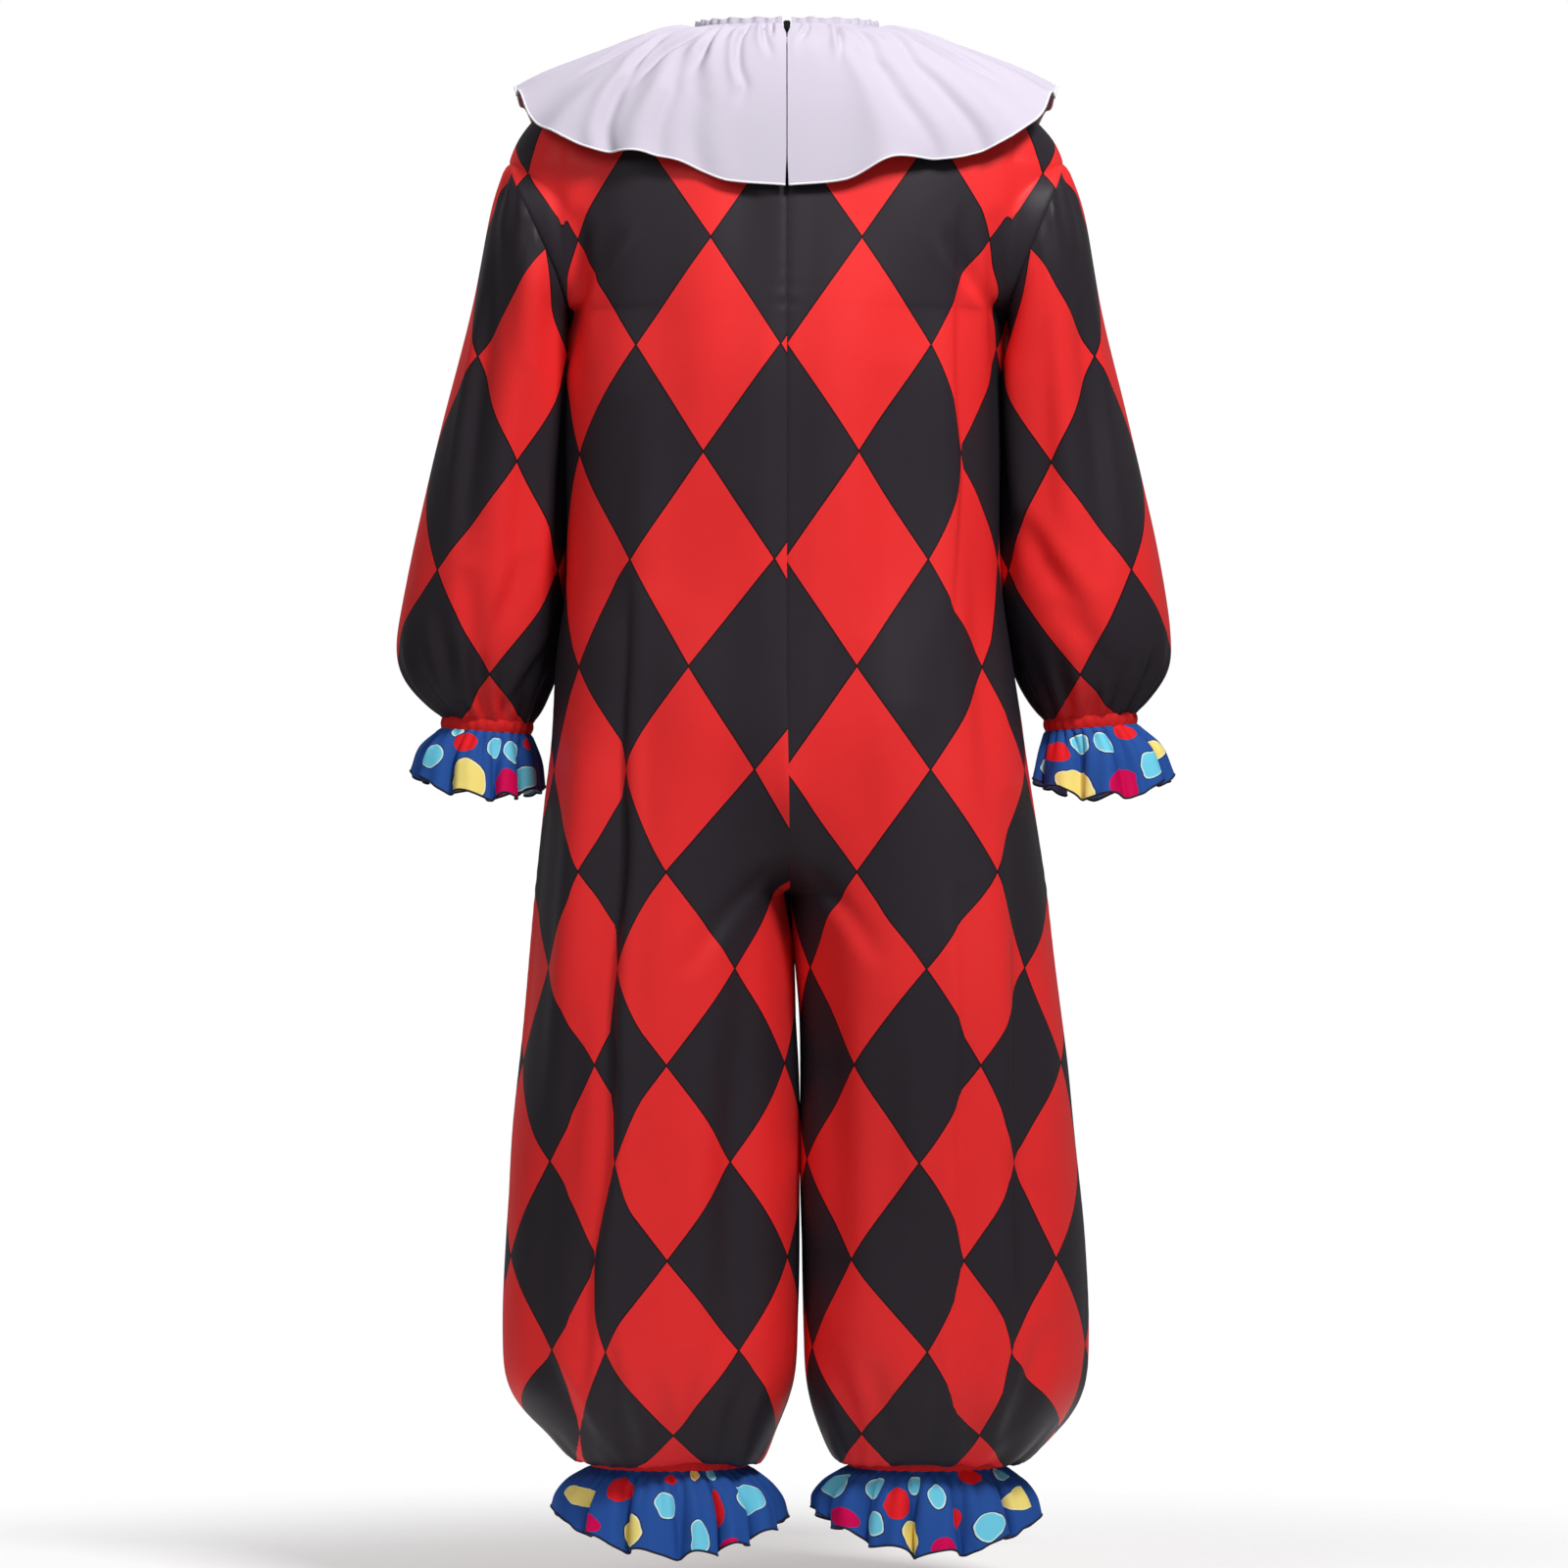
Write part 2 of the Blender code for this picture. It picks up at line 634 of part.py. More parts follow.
def build_collar(finish, collection):
    """The flat gathered ruffle collar, split at the centre back."""
    angles = np.linspace(0, 360, COLLAR_COLUMNS + 1)
    angles = [a if a < 180 else a - 360 for a in angles]
    angles[-1] = JUST_RIGHT_OF_CENTRE
    made = [[collar_point(a, v) for a in angles] for v in COLLAR_ROWS]
    outer = np.array([[point for point, _ in row] for row in made])
    for i, v in enumerate(COLLAR_ROWS):
        split = NOTCH_HALF_WIDTH * (1 - v / COLLAR_ROWS[1]) if v < COLLAR_ROWS[1] else 0.0
        outer[i, 0, 0] = max(split, COLLAR_SPLIT)
        outer[i, -1, 0] = -max(split, COLLAR_SPLIT)
    normals = grid_normals(outer, False, 1)
    normals[:, 0] = flatten(normals[:, 0], (1, 0, 0))
    normals[:, -1] = flatten(normals[:, -1], (1, 0, 0))
    normals[0] = np.array([normal for _, normal in made[0]])
    wall("collar", outer, outer - CLOTH * normals, finish, collection)


def build_neck_band(finish, collection):
    """The narrow gathered edge that stands on the neck seam, open where the zip's slider is."""
    angles = np.linspace(0, 360, NECK_COLUMNS + 1)
    angles = [a if a < 180 else a - 360 for a in angles]
    angles[-1] = JUST_RIGHT_OF_CENTRE
    rows = []
    for rise in (SEAM_GAP, NECK_BAND_HEIGHT):
        row = []
        for a in angles:
            side, face, u = around(a)
            point = body_point(side, face, 0, u)
            inward = -NECK_BAND_LEAN * np.array((point[0], point[1], 0)) / np.linalg.norm(point[:2])
            row.append(point + rise * (np.array((0, 0, 1)) + inward))
        rows.append(row)
    outer = np.array(rows)
    normals = flatten(grid_normals(outer, False, -1), (0, 0, 1))
    normals[:, 0] = flatten(normals[:, 0], (1, 0, 0))
    normals[:, -1] = flatten(normals[:, -1], (1, 0, 0))
    wall("neck_band", outer, outer - CLOTH * normals, finish, collection)


# Zip


def build_tapes(backs, finish, collection):
    """The zip's tapes, inside the back panels and a seam gap from them."""
    for side, word in LEFT_RIGHT:
        _, inner = backs[side]
        rows = [inner[i] for i, t in enumerate(body_stations()) if t <= ZIP_LAST]
        strip = []
        for row in rows:
            step = row[1] - row[0]
            shares = [(side * x - row[0][0]) / step[0] for x in (TAPE_NEAR, TAPE_FAR)]
            strip.append([row[0] + step * share for share in shares])
        strip = np.array(strip)
        normals = flatten(grid_normals(strip, False, side), (1, 0, 0))
        outer = strip - SEAM_GAP * normals
        wall(f"zip_tape_{word}", outer, outer - TAPE * normals, finish, collection)


def zip_frame():
    """(place, turn about X) of the pull tab's axis: local Y runs down the back, Z out of it."""
    top = body_point(1, 1, 0, 0)
    below = body_point(1, 1, 1, 0)
    down = unit(np.array((0, below[1] - top[1], below[2] - top[2])))
    out = np.array((0, -down[2], down[1]))
    place = np.array((0, top[1], top[2])) + down * HINGE_DOWN + out * HINGE_OUT
    return place, math.atan2(down[2], down[1])


def outline_object(name, outlines, half_depth, finish, collection, seat):
    """A flat piece of the zip, cut to its outlines and extruded both ways."""
    curve = bpy.data.curves.new(name, "CURVE")
    curve.dimensions = "2D"
    curve.fill_mode = "BOTH"
    curve.extrude = half_depth
    for outline in outlines:
        spline = curve.splines.new("POLY")
        spline.points.add(len(outline) - 1)
        spline.use_cyclic_u = True
        for point, (x, y) in zip(spline.points, outline):
            point.co = (x, y, 0, 1)
    obj = add_object(name, curve, finish, collection)
    place, turn = seat
    obj.location = place
    obj.rotation_euler = (turn, 0, 0)
    return obj


def box_mesh(name, low, high, finish, collection, seat):
    """A box between two corners of the zip's frame."""
    mesh = bmesh.new()
    bmesh.ops.create_cube(mesh, size=1)
    low = np.array(low)
    high = np.array(high)
    for vertex in mesh.verts:
        vertex.co = (low + high) / 2 + np.array(vertex.co) * (high - low)
    data = bpy.data.meshes.new(name)
    mesh.to_mesh(data)
    mesh.free()
    obj = add_object(name, data, finish, collection)
    place, turn = seat
    obj.location = place
    obj.rotation_euler = (turn, 0, 0)
    return obj


def as_mesh(obj, collection):
    """The same object as a mesh with its caps welded, which a Boolean needs."""
    graph = bpy.context.evaluated_depsgraph_get()
    data = bpy.data.meshes.new_from_object(obj.evaluated_get(graph))
    mesh = bmesh.new()
    mesh.from_mesh(data)
    bmesh.ops.remove_doubles(mesh, verts=mesh.verts, dist=1e-6)
    bmesh.ops.recalc_face_normals(mesh, faces=mesh.faces)
    mesh.to_mesh(data)
    mesh.free()
    name = obj.name
    place = obj.matrix_world.copy()
    bpy.data.objects.remove(obj)
    made = bpy.data.objects.new(name, data)
    made.matrix_world = place
    collection.objects.link(made)
    return made


def build_slider(finish, collection, helpers, seat):
    """The wedge-shaped slider with the bridge that holds the pull tab."""
    outline = [(-x, y) for x, y in SLIDER_OUTLINE] + list(reversed(SLIDER_OUTLINE))
    plate = outline_object(
        "zip_slider", [outline], (SLIDER_FACE - SLIDER_BACK) / 2, finish, collection, seat
    )
    bpy.context.view_layer.update()
    plate = as_mesh(plate, collection)
    for vertex in plate.data.vertices:
        vertex.co.z += (SLIDER_FACE + SLIDER_BACK) / 2
    sunk = SLIDER_FACE - BRIDGE_SUNK
    end = BRIDGE_HALF_LENGTH
    boxes = (
        ((-end, sunk), (BRIDGE_WIRE - end, BRIDGE_TOP)),
        ((end - BRIDGE_WIRE, sunk), (end, BRIDGE_TOP)),
        ((-end, BRIDGE_TOP - BRIDGE_BAR), (end, BRIDGE_TOP)),
    )
    for k, (low, high) in enumerate(boxes):
        helper = box_mesh(
            f"bridge_{k}", (-BRIDGE_HALF_WIDTH, *low), (BRIDGE_HALF_WIDTH, *high), finish, helpers, seat
        )
        helper.hide_render = True
        helper.display_type = "WIRE"
        union = plate.modifiers.new(f"Join {helper.name}", "BOOLEAN")
        union.operation = "UNION"
        union.solver = "EXACT"
        union.object = helper


def build_pull(finish, collection, seat):
    """The pull tab, with its origin on the axis about which it swings."""
    outline = [
        (-TAB_HALF_WIDTH, TAB_TOP),
        (TAB_HALF_WIDTH, TAB_TOP),
        (TAB_HALF_WIDTH, TAB_BOTTOM - TAB_HALF_WIDTH),
        (0.5 * TAB_HALF_WIDTH, TAB_BOTTOM),
        (-0.5 * TAB_HALF_WIDTH, TAB_BOTTOM),
        (-TAB_HALF_WIDTH, TAB_BOTTOM - TAB_HALF_WIDTH),
    ]
    window = [
        (-WINDOW_HALF_WIDTH, WINDOW_TOP),
        (WINDOW_HALF_WIDTH, WINDOW_TOP),
        (WINDOW_HALF_WIDTH, WINDOW_BOTTOM),
        (-WINDOW_HALF_WIDTH, WINDOW_BOTTOM),
    ]
    pull = outline_object(
        "zip_pull", [outline, window], TAB_THICKNESS / 2, finish, collection, seat
    )
    bpy.context.view_layer.update()
    as_mesh(pull, collection)


def main():
    clear_scene()
    collection = new_collection(COLLECTION)
    helpers = new_collection(HELPERS)
    helpers.hide_render = True
    harlequin = material("Harlequin satin", (0.45, 0.02, 0.03), 0.45)
    white = material("White collar cloth", (0.78, 0.76, 0.82), 0.6)
    dotted = material("Blue dotted cloth", (0.05, 0.1, 0.38), 0.55)
    red = material("Red elastic channel", (0.4, 0.01, 0.02), 0.55)
    tape = material("Black zip tape", (0.02, 0.02, 0.02), 0.7)
    metal = material("Black lacquered metal", (0.03, 0.03, 0.03), 0.35, 1.0)
    backs = build_body(harlequin, collection)
    build_sleeves(harlequin, collection)
    build_channels(red, collection)
    build_ruffles(dotted, collection)
    build_collar(white, collection)
    build_neck_band(white, collection)
    build_tapes(backs, tape, collection)
    seat = zip_frame()
    build_slider(metal, collection, helpers, seat)
    build_pull(metal, collection, seat)


main()
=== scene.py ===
"""Dresses the clown jumpsuit: printed satin body and sleeves, ruffles, collar, zip and studio."""

import functools
import math

import bmesh
import bpy
import mathutils
import numpy as np
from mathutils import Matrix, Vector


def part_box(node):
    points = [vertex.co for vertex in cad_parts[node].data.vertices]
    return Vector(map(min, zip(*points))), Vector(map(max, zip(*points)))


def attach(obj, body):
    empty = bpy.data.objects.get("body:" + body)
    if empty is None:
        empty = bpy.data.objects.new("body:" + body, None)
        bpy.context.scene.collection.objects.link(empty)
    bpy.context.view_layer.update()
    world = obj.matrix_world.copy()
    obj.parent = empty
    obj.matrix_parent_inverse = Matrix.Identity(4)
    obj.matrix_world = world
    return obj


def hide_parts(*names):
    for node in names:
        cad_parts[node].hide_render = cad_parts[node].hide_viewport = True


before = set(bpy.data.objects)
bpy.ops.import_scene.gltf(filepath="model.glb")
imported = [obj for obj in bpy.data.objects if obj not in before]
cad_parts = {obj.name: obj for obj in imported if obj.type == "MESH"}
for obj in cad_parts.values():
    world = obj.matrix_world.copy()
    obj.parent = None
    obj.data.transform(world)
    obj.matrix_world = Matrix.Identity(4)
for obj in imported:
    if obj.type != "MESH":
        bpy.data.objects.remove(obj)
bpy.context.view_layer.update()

bl_info = {
    "name": "Clown jumpsuit",
    "version": (1, 0, 0),
    "blender": (4, 5, 0),
    "location": "3D View > Sidebar > Jumpsuit",
    "description": "Builds the cloth, trims, zip and studio of a clown jumpsuit",
    "category": "Object",
}

MM = 0.001
SUIT = "suit"
SIDES = ((1, "left"), (-1, "right"))
FACES = ((1, "back"), (-1, "front"))

# Sections of the garment, in millimetres, the same as its solids
BODY_COLUMNS = "height seam out_left out_right in_left in_right back front drop".split()
BODY = np.array((
    (26, 0, 88, 88, 0, 0, 66, 80, 34),
    (8, 0, 128, 127, 0, 0, 80, 98, 22),
    (-22, 0, 185, 184, 0, 0, 94, 114, 12),
    (-55, 0, 233, 231, 0, 0, 104, 124, 6),
    (-101.5, 0, 265, 263.5, 0, 0, 112, 132, 0),
    (-244.4, 0, 209.6, 211, 0, 0, 128, 146, 0),
    (-310, 0, 209.6, 203, 0, 0, 131, 151, 0),
    (-400, 0, 209.6, 201.5, 0, 0, 130, 156, 0),
    (-490, 0, 210, 203.5, 0, 0, 131, 159, 0),
    (-578, 0, 220.9, 214.5, 0, 0, 136, 158, 0),
    (-650, -1, 224.5, 225.5, 0, 0, 142, 155, 0),
    (-700, -2, 230.5, 233.3, 0, 0, 146, 151, 0),
    (-800, -3, 241.2, 248.6, -3, -3, 149, 142, 0),
    (-853.5, -6.6, 246, 254.5, -6.1, -7.1, 147, 138, 0),
    (-930, -10, 252.5, 263.8, -7.2, -13.2, 144, 136, 0),
    (-1037, -11, 263.2, 275.3, -8.4, -14.4, 141, 137, 0),
    (-1133, -12, 267, 285.2, -9.0, -15.4, 139, 139, 0),
    (-1210, -12, 270.2, 289.0, -9.4, -16.6, 138, 140, 0),
    (-1256, -12, 269.8, 288.4, -8.2, -18.4, 135, 138, 0),
    (-1290, -12, 257, 279.4, 0.5, -24.8, 126, 129, 0),
    (-1317, -12, 226.5, 256.5, 13.5, -34.5, 109, 112, 0),
    (-1334, -12, 212, 234, 22, -43, 97, 99, 0),
    (-1343, -12, 200.5, 217, 30, -50, 86, 87, 0),
    (-1338.6, -12, 185.7, 206.7, 39.3, -60.3, 73.2, 73.2, 0),
))
ARMHOLE_TOP = 4
ARMHOLE_BOTTOM = 5
ARMHOLE_HALF_DEPTH = 75 * MM
ARMHOLE_STEPS = 48
CREASE_SPOT = 12 / 14
CREASE_DEPTH = 1.06
CREASE_BULGE = 8 * MM
FORK_TOP = 11
CROTCH = 12
HIP_TOP = 9
HIP_BOTTOM = 15
LAST = len(BODY) - 1
SQUARENESS_TORSO = 2.35
SQUARENESS_LEG = 2.15
NOTCH_HALF_WIDTH = 4.5 * MM
SEAM_GAP = 0.3 * MM
CAD_CLOTH = 1.5 * MM
SEAM_SHARE = 0.45
FORK_STEPS = 26

# Sleeve, channel and ruffle rings: outer x, z, inner x, z, half depth, lean, sag
SLEEVE = {
    1: (
        (279, -134, 213.5, -268, 80, -4, 0),
        (300, -236, 209.8, -330, 84, -22, 0),
        (331, -354, 208.2, -415, 87, -38, 0),
        (347, -420, 208.0, -470, 88, -44, 0),
        (365, -500, 212, -530, 85, -46, 0),
        (376, -562, 219.5, -574, 78, -47, 0),
        (372, -587, 226, -594, 70, -48, 0),
        (358, -606, 234, -610, 60, -48, 0),
        (344, -619, 239.5, -624, 50, -49, 0),
        (331, -631, 246, -637, 42, -50, 0),
    ),
    -1: (
        (281, -137, 214, -268, 80, -4, 0),
        (301, -243, 203.2, -330, 84, -22, 0),
        (323, -331, 200.5, -400, 87, -38, 0),
        (343, -414, 201.2, -465, 88, -44, 0),
        (357, -475, 205.5, -520, 86, -46, 0),
        (369.4, -552, 213, -568, 79, -47, 0),
        (369.4, -578, 221, -592, 71, -48, 0),
        (360, -597, 231, -609, 61, -48, 0),
        (348, -612, 240, -622, 51, -49, 0),
        (335.6, -627, 249, -634, 42, -50, 0),
    ),
}
CHANNELS = {
    "wrist": {
        1: ((331.1, -631.4, 246.1, -637.4, 42, -50, 0), (332.4, -640.2, 247.4, -646.2, 42, -50, 0)),
        -1: ((335.7, -627.4, 249.1, -634.4, 42, -50, 0), (336.6, -636.2, 250, -643.2, 42, -50, 0)),
    },
    "ankle": {
        1: ((186.5, -1339.8, 38.5, -1339.8, 74, 0, 0), (186.5, -1348, 38.5, -1348, 74, 0, 0)),
        -1: ((207.5, -1339.8, 59.5, -1339.8, 74, 0, 0), (207.5, -1348, 59.5, -1348, 74, 0, 0)),
    },
}
RUFFLES = {
    "wrist": {
        1: (
            (332.5, -640.6, 247.5, -646.6, 42, -50, 0),
            (351, -662, 240, -674, 54, -50, 6),
            (359, -687, 236, -701, 62, -50, 13),
        ),
        -1: (
            (336.7, -636.6, 250.1, -643.6, 42, -50, 0),
            (358, -659, 246, -666, 54, -50, 7),
            (370, -690, 241, -694, 63, -50, 16),
        ),
    },
    "ankle": {
        1: (
            (186.6, -1348.4, 38.4, -1348.4, 74.6, 0, 0),
            (207, -1365, 16, -1367, 90, 0, 8),
            (216, -1382, 6, -1385, 98, 0, 20),
            (219, -1394, 3, -1401, 103, 0, 29),
        ),
        -1: (
            (207.6, -1348.4, 59.4, -1348.4, 74.6, 0, 0),
            (227, -1365, 39, -1365, 90, 0, 8),
            (235, -1383, 31, -1382, 98, 0, 20),
            (238, -1399, 31, -1394, 103, 0, 29),
        ),
    },
}

# Collar: height of the body point under the hem and the hem's stand, by angle from the back
COLLAR = np.array((
    (0, -131, 9), (12, -127, 9), (22, -110, 12), (32, -106, 12), (47, -94, 14), (60, -77, 18),
    (75, -66, 23), (90, -61, 26), (105, -66, 23), (120, -78, 19), (135, -96, 15),
    (150, -110, 12), (165, -122, 10), (180, -126, 9),
))
# Flutes of the hem: angle from the back, width in degrees, height in millimetres
FLUTES = (
    (30, 8, 12), (48, 8, 13), (70, 9, 14), (92, 9, 12), (115, 9, 12), (138, 9, 13), (161, 9, 12),
    (-21, 7, 10), (-50, 9, 13), (-69, 8, 14), (-92, 9, 12), (-117, 9, 12), (-141, 9, 13),
    (-163, 9, 12),
)
COLLAR_START = 0.006
COLLAR_SPLIT_ROW = 0.1
COLLAR_PUFF = 11 * MM
PUFF_LENGTH = 0.2
SETTLE_START = 0.1
FLUTE_SWELL = 1.3
FLUTE_LIFT = 0.5
COLLAR_SPLIT = 0.5 * MM
COLLAR_SPLIT_OPEN = 1.0 * MM
COLLAR_TURN = 0.8 * MM
COLLAR_RISE = 2.4 * MM
NECK_BAND_HEIGHT = 8 * MM
NECK_BAND_LEAN = 0.12

# The print: half a diamond's width and height, and where its grain line runs down each panel
HALF_WIDTH = 70.5 * MM
HALF_HEIGHT = 100.1 * MM
PRINT_TOP = -178.6 * MM
GRAIN = {
    (1, 1): ((-172, 72), (-376, 79), (-482, 81), (-580, 92.5), (-678, 100), (-775, 114),
             (-1148, 113), (-1330, 107)),
    (-1, 1): ((-172, 71), (-376, 68), (-580, 66), (-775, 66), (-1148, 61), (-1330, 72)),
    (1, -1): ((-172, 71), (-376, 71), (-580, 76), (-775, 88), (-1148, 92), (-1330, 92)),
    (-1, -1): ((-172, 71), (-376, 71), (-580, 74), (-775, 84), (-1148, 88), (-1330, 90)),
}
# Length of printed cloth to a length of the form, by height
SLACK = (
    (0, 0.985), (-560, 0.985), (-640, 1.03), (-770, 1.035), (-800, 1.10), (-960, 1.10),
    (-980, 1.085), (-1140, 1.085), (-1170, 1.17), (-1330, 1.17),
)
SLEEVE_GRAIN_ANGLE = 102
SLEEVE_PRINT_TOP = -286.6 * MM

# Creases of the body: face, x and z of both ends, depth, width of the inner and outer slopes, bow.
# The last eight are the slanting drag lines near the armholes and the crotch.
CREASES = (
    (1, 196, -150, 205, -300, 7, 9, 16, 0),
    (1, -196, -150, -203, -330, 7, 9, 16, 0),
    (1, -178, -420, -196, -760, 6, 14, 20, 0),
    (1, -214, -700, -232, -1060, 9, 14, 20, 4),
    (1, 38, -800, 50, -1240, 8, 16, 22, 6),
    (1, -32, -830, -46, -1200, 7, 14, 20, 4),
    (1, -96, -900, -118, -1290, 6, 24, 18, -8),
    (1, -210, -1040, -232, -1290, 7, 14, 18, 6),
    (1, 216, -640, 244, -1040, 7, 14, 20, 0),
    (1, 226, -1010, 236, -1270, 6, 12, 16, 0),
    (1, 100, -250, 118, -520, 4, 24, 30, 6),
    (1, 40, -420, 60, -760, 4, 26, 22, 0),
    (1, 176, -1190, 140, -1338, 5, 8, 12, 4),
    (1, 232, -1230, 176, -1330, 5, 8, 12, 4),
    (1, 122, -1250, 112, -1340, 4, 8, 10, 0),
    (1, 74, -1230, 92, -1340, 5, 9, 12, 0),
    (1, 30, -1240, 62, -1336, 4, 8, 12, 0),
    (1, -196, -1190, -172, -1338, 5, 8, 12, -5),
    (1, -250, -1200, -200, -1326, 6, 9, 14, 4),
    (1, -146, -1230, -140, -1340, 4, 8, 10, 0),
    (1, -78, -1240, -100, -1340, 5, 9, 12, 0),
    (1, -40, -1230, -76, -1336, 4, 8, 12, 0),
    (1, 150, -330, 168, -560, 4, 20, 26, 5),
    (1, -96, -300, -110, -620, 4, 22, 28, -5),
    (1, 196, -900, 214, -1150, 5, 12, 18, 3),
    (1, -120, -1060, -132, -1280, 4, 14, 18, 3),
    (-1, 180, -1200, 150, -1336, 5, 8, 12, 4),
    (-1, 80, -1210, 96, -1336, 5, 9, 12, 0),
    (-1, -190, -1200, -166, -1336, 5, 8, 12, 4),
    (-1, -84, -1220, -104, -1336, 5, 9, 12, 0),
    (1, -60, -560, -84, -860, 4, 26, 22, 0),
    (-1, 200, -150, 206, -310, 7, 9, 16, 0),
    (-1, -200, -150, -206, -310, 7, 9, 16, 0),
    (-1, 210, -640, 236, -1060, 8, 14, 20, 0),
    (-1, -210, -640, -240, -1100, 8, 14, 20, 0),
    (-1, 44, -830, 58, -1230, 7, 16, 20, 4),
    (-1, -44, -830, -62, -1250, 7, 16, 20, 4),
    (-1, 60, -260, 84, -640, 5, 26, 30, 6),
    (-1, -64, -300, -90, -620, 5, 26, 30, 6),
    (-1, 112, -900, 100, -1290, 6, 22, 20, 0),
    (-1, -112, -940, -122, -1290, 6, 22, 20, 0),
    (1, 150, -170, 214, -262, 4, 9, 12, 6),
    (1, -150, -170, -212, -262, 4, 9, 12, -6),
    (-1, 150, -180, 214, -262, 4, 9, 12, 6),
    (-1, -150, -180, -212, -262, 4, 9, 12, -6),
    (1, 12, -770, 96, -880, 4, 9, 12, 8),
    (1, -12, -770, -90, -870, 4, 9, 12, 8),
    (-1, 12, -770, 96, -880, 4, 9, 12, 8),
    (-1, -12, -770, -90, -870, 4, 9, 12, 8),
)
# Lapped folds, where the cloth nearer the middle lies over the rest: panel, greatest depth, and
# (height, place from the middle, cloth hidden) down the fold
LAPS = (
    ((1, 1), 13, ((-500, 149, 0), (-560, 150, 12), (-648, 151, 25), (-760, 155, 42), (-837, 160, 52),
                  (-978, 164, 66), (-1072, 169, 76), (-1166, 180, 82), (-1237, 189, 80), (-1300, 196, 60))),
    ((1, 1), 4.5, ((-70, 214, 8), (-110, 213, 24), (-160, 211, 31), (-215, 210, 30), (-262, 208, 8))),
    ((-1, 1), 4.5, ((-70, 214, 8), (-110, 213, 22), (-160, 211, 28), (-215, 210, 26), (-262, 208, 8))),
    ((-1, 1), 6, ((-150, 158, 4), (-195, 160, 13), (-300, 162, 30), (-395, 163, 40), (-470, 160, 26),
                  (-560, 158, 0))),
    ((-1, 1), 6, ((-790, 160, 0), (-970, 164, 15), (-1145, 160, 31), (-1240, 158, 34), (-1320, 158, 20))),
    ((-1, 1), 5, ((-840, 214, 0), (-1045, 216, 22), (-1220, 214, 26), (-1310, 205, 10))),
    ((1, -1), 9, ((-480, 150, 0), (-640, 154, 24), (-880, 160, 46), (-1120, 168, 56), (-1290, 180, 40))),
    ((-1, -1), 9, ((-420, 146, 0), (-600, 150, 22), (-860, 158, 44), (-1110, 166, 54), (-1290, 178, 38))),
)
# Creases of a sleeve: angle from its outer side and length down of both ends, depth, slopes
SLEEVE_CREASES = {
    1: (
        (40, 40, 70, 330, 7, 10, 18),
        (100, 120, 118, 420, 5, 14, 20),
        (150, 60, 140, 360, 6, 12, 18),
        (75, 330, 100, 470, 5, 9, 12),
        (118, 300, 88, 440, 4, 9, 12),
        (58, 370, 92, 500, 5, 8, 12),
        (166, 360, 108, 490, 5, 8, 12),
        (215, 80, 225, 400, 7, 14, 20),
        (265, 120, 250, 430, 6, 14, 20),
        (318, 60, 300, 420, 6, 12, 18),
    ),
    -1: (
        (44, 50, 72, 350, 7, 10, 18),
        (96, 80, 110, 300, 5, 14, 20),
        (134, 250, 84, 400, 6, 10, 16),
        (112, 350, 62, 460, 4, 9, 14),
        (30, 385, 50, 505, 5, 9, 12),
        (150, 80, 146, 330, 6, 12, 18),
        (215, 80, 225, 400, 7, 14, 20),
        (262, 120, 252, 430, 6, 14, 20),
        (318, 60, 300, 420, 6, 12, 18),
    ),
}

BODY_ROW_STEP = 5.6 * MM
BODY_SPOTS = 112
SLEEVE_AROUND = 2 * ARMHOLE_STEPS
SLEEVE_ROW_STEP = 4.5 * MM
RUFFLE_AROUND = {"wrist": 256, "ankle": 384}
RUFFLE_ROWS = {"wrist": 26, "ankle": 28}
# Waves of a ruffle: their count, how deep they are and how far they lean over at the hem
RUFFLE_WAVES = {"wrist": (9, 7.6 * MM, 4.2 * MM), "ankle": (14, 10.5 * MM, 6.2 * MM)}
CHANNEL_AROUND = 192
CHANNEL_PUCKERS = {"wrist": 27, "ankle": 40}
CHANNEL_PUCKER = 0.7 * MM
CHANNEL_LIFT = 0.7 * MM
CHANNEL_PUFF = 1.1 * MM
SHIRRING = 2.1 * MM
HEM_RIPPLE = 0.9 * MM
HEM_CURL = 3.0 * MM
FULLNESS = 1.2 * MM
ARMPIT_FULLNESS = 4.4 * MM
SEAM_REACH = 8 * MM
BODY_WAVES = 1.3 * MM
LAP_SWAY = 2.5 * MM
GATHER_TOP = 19.2
ANKLE_GATHERS = 2.1 * MM
PUCKER = 0.5 * MM
PUCKER_PITCH = 17 * MM
ARMPIT_HEIGHT = -335 * MM
SLEEVE_RADIUS = 78 * MM
SLEEVE_WAVES = 1.0 * MM
SLEEVE_FULLNESS = 3.2 * MM
SLEEVE_SLACK = 0.965
CAP_GATHERS = 3.3 * MM
CAP_SWELL = 2.2 * MM
WRIST_GATHERS = 3.8 * MM
SHOULDER_FOLD = 209 * MM
SHOULDER_DROP = 36 * MM
DROOP = 7 * MM
DROOP_TOP = 18.5
# The printed strip that the ruffles are cut from: where each starts and how long the half of it
# that shows from outside is
STRIP_START = {("wrist", 1): 0.0, ("wrist", -1): 0.25, ("ankle", 1): 0.5, ("ankle", -1): 0.9}
STRIP_LENGTH = {"wrist": 0.202, "ankle": 0.354}
PALE_RING = (0.92, 0.95, 0.85)
COLLAR_AROUND = 520
COLLAR_ROWS = 48
NECK_AROUND = 420
NECK_RIPPLE = 1.3 * MM
# Angles between which the short folds of the gathered neck edge start
NECK_FOLDS = (-176.0, 178)
SHARP_ANGLE = math.radians(62)
EDGE_SIDES = 7
COIL_PITCH = 1.4 * MM
# Lengths of tape left bare above and below the coil
COIL_START = 3 * MM
COIL_END = 4 * MM
COIL_SIDES = 6
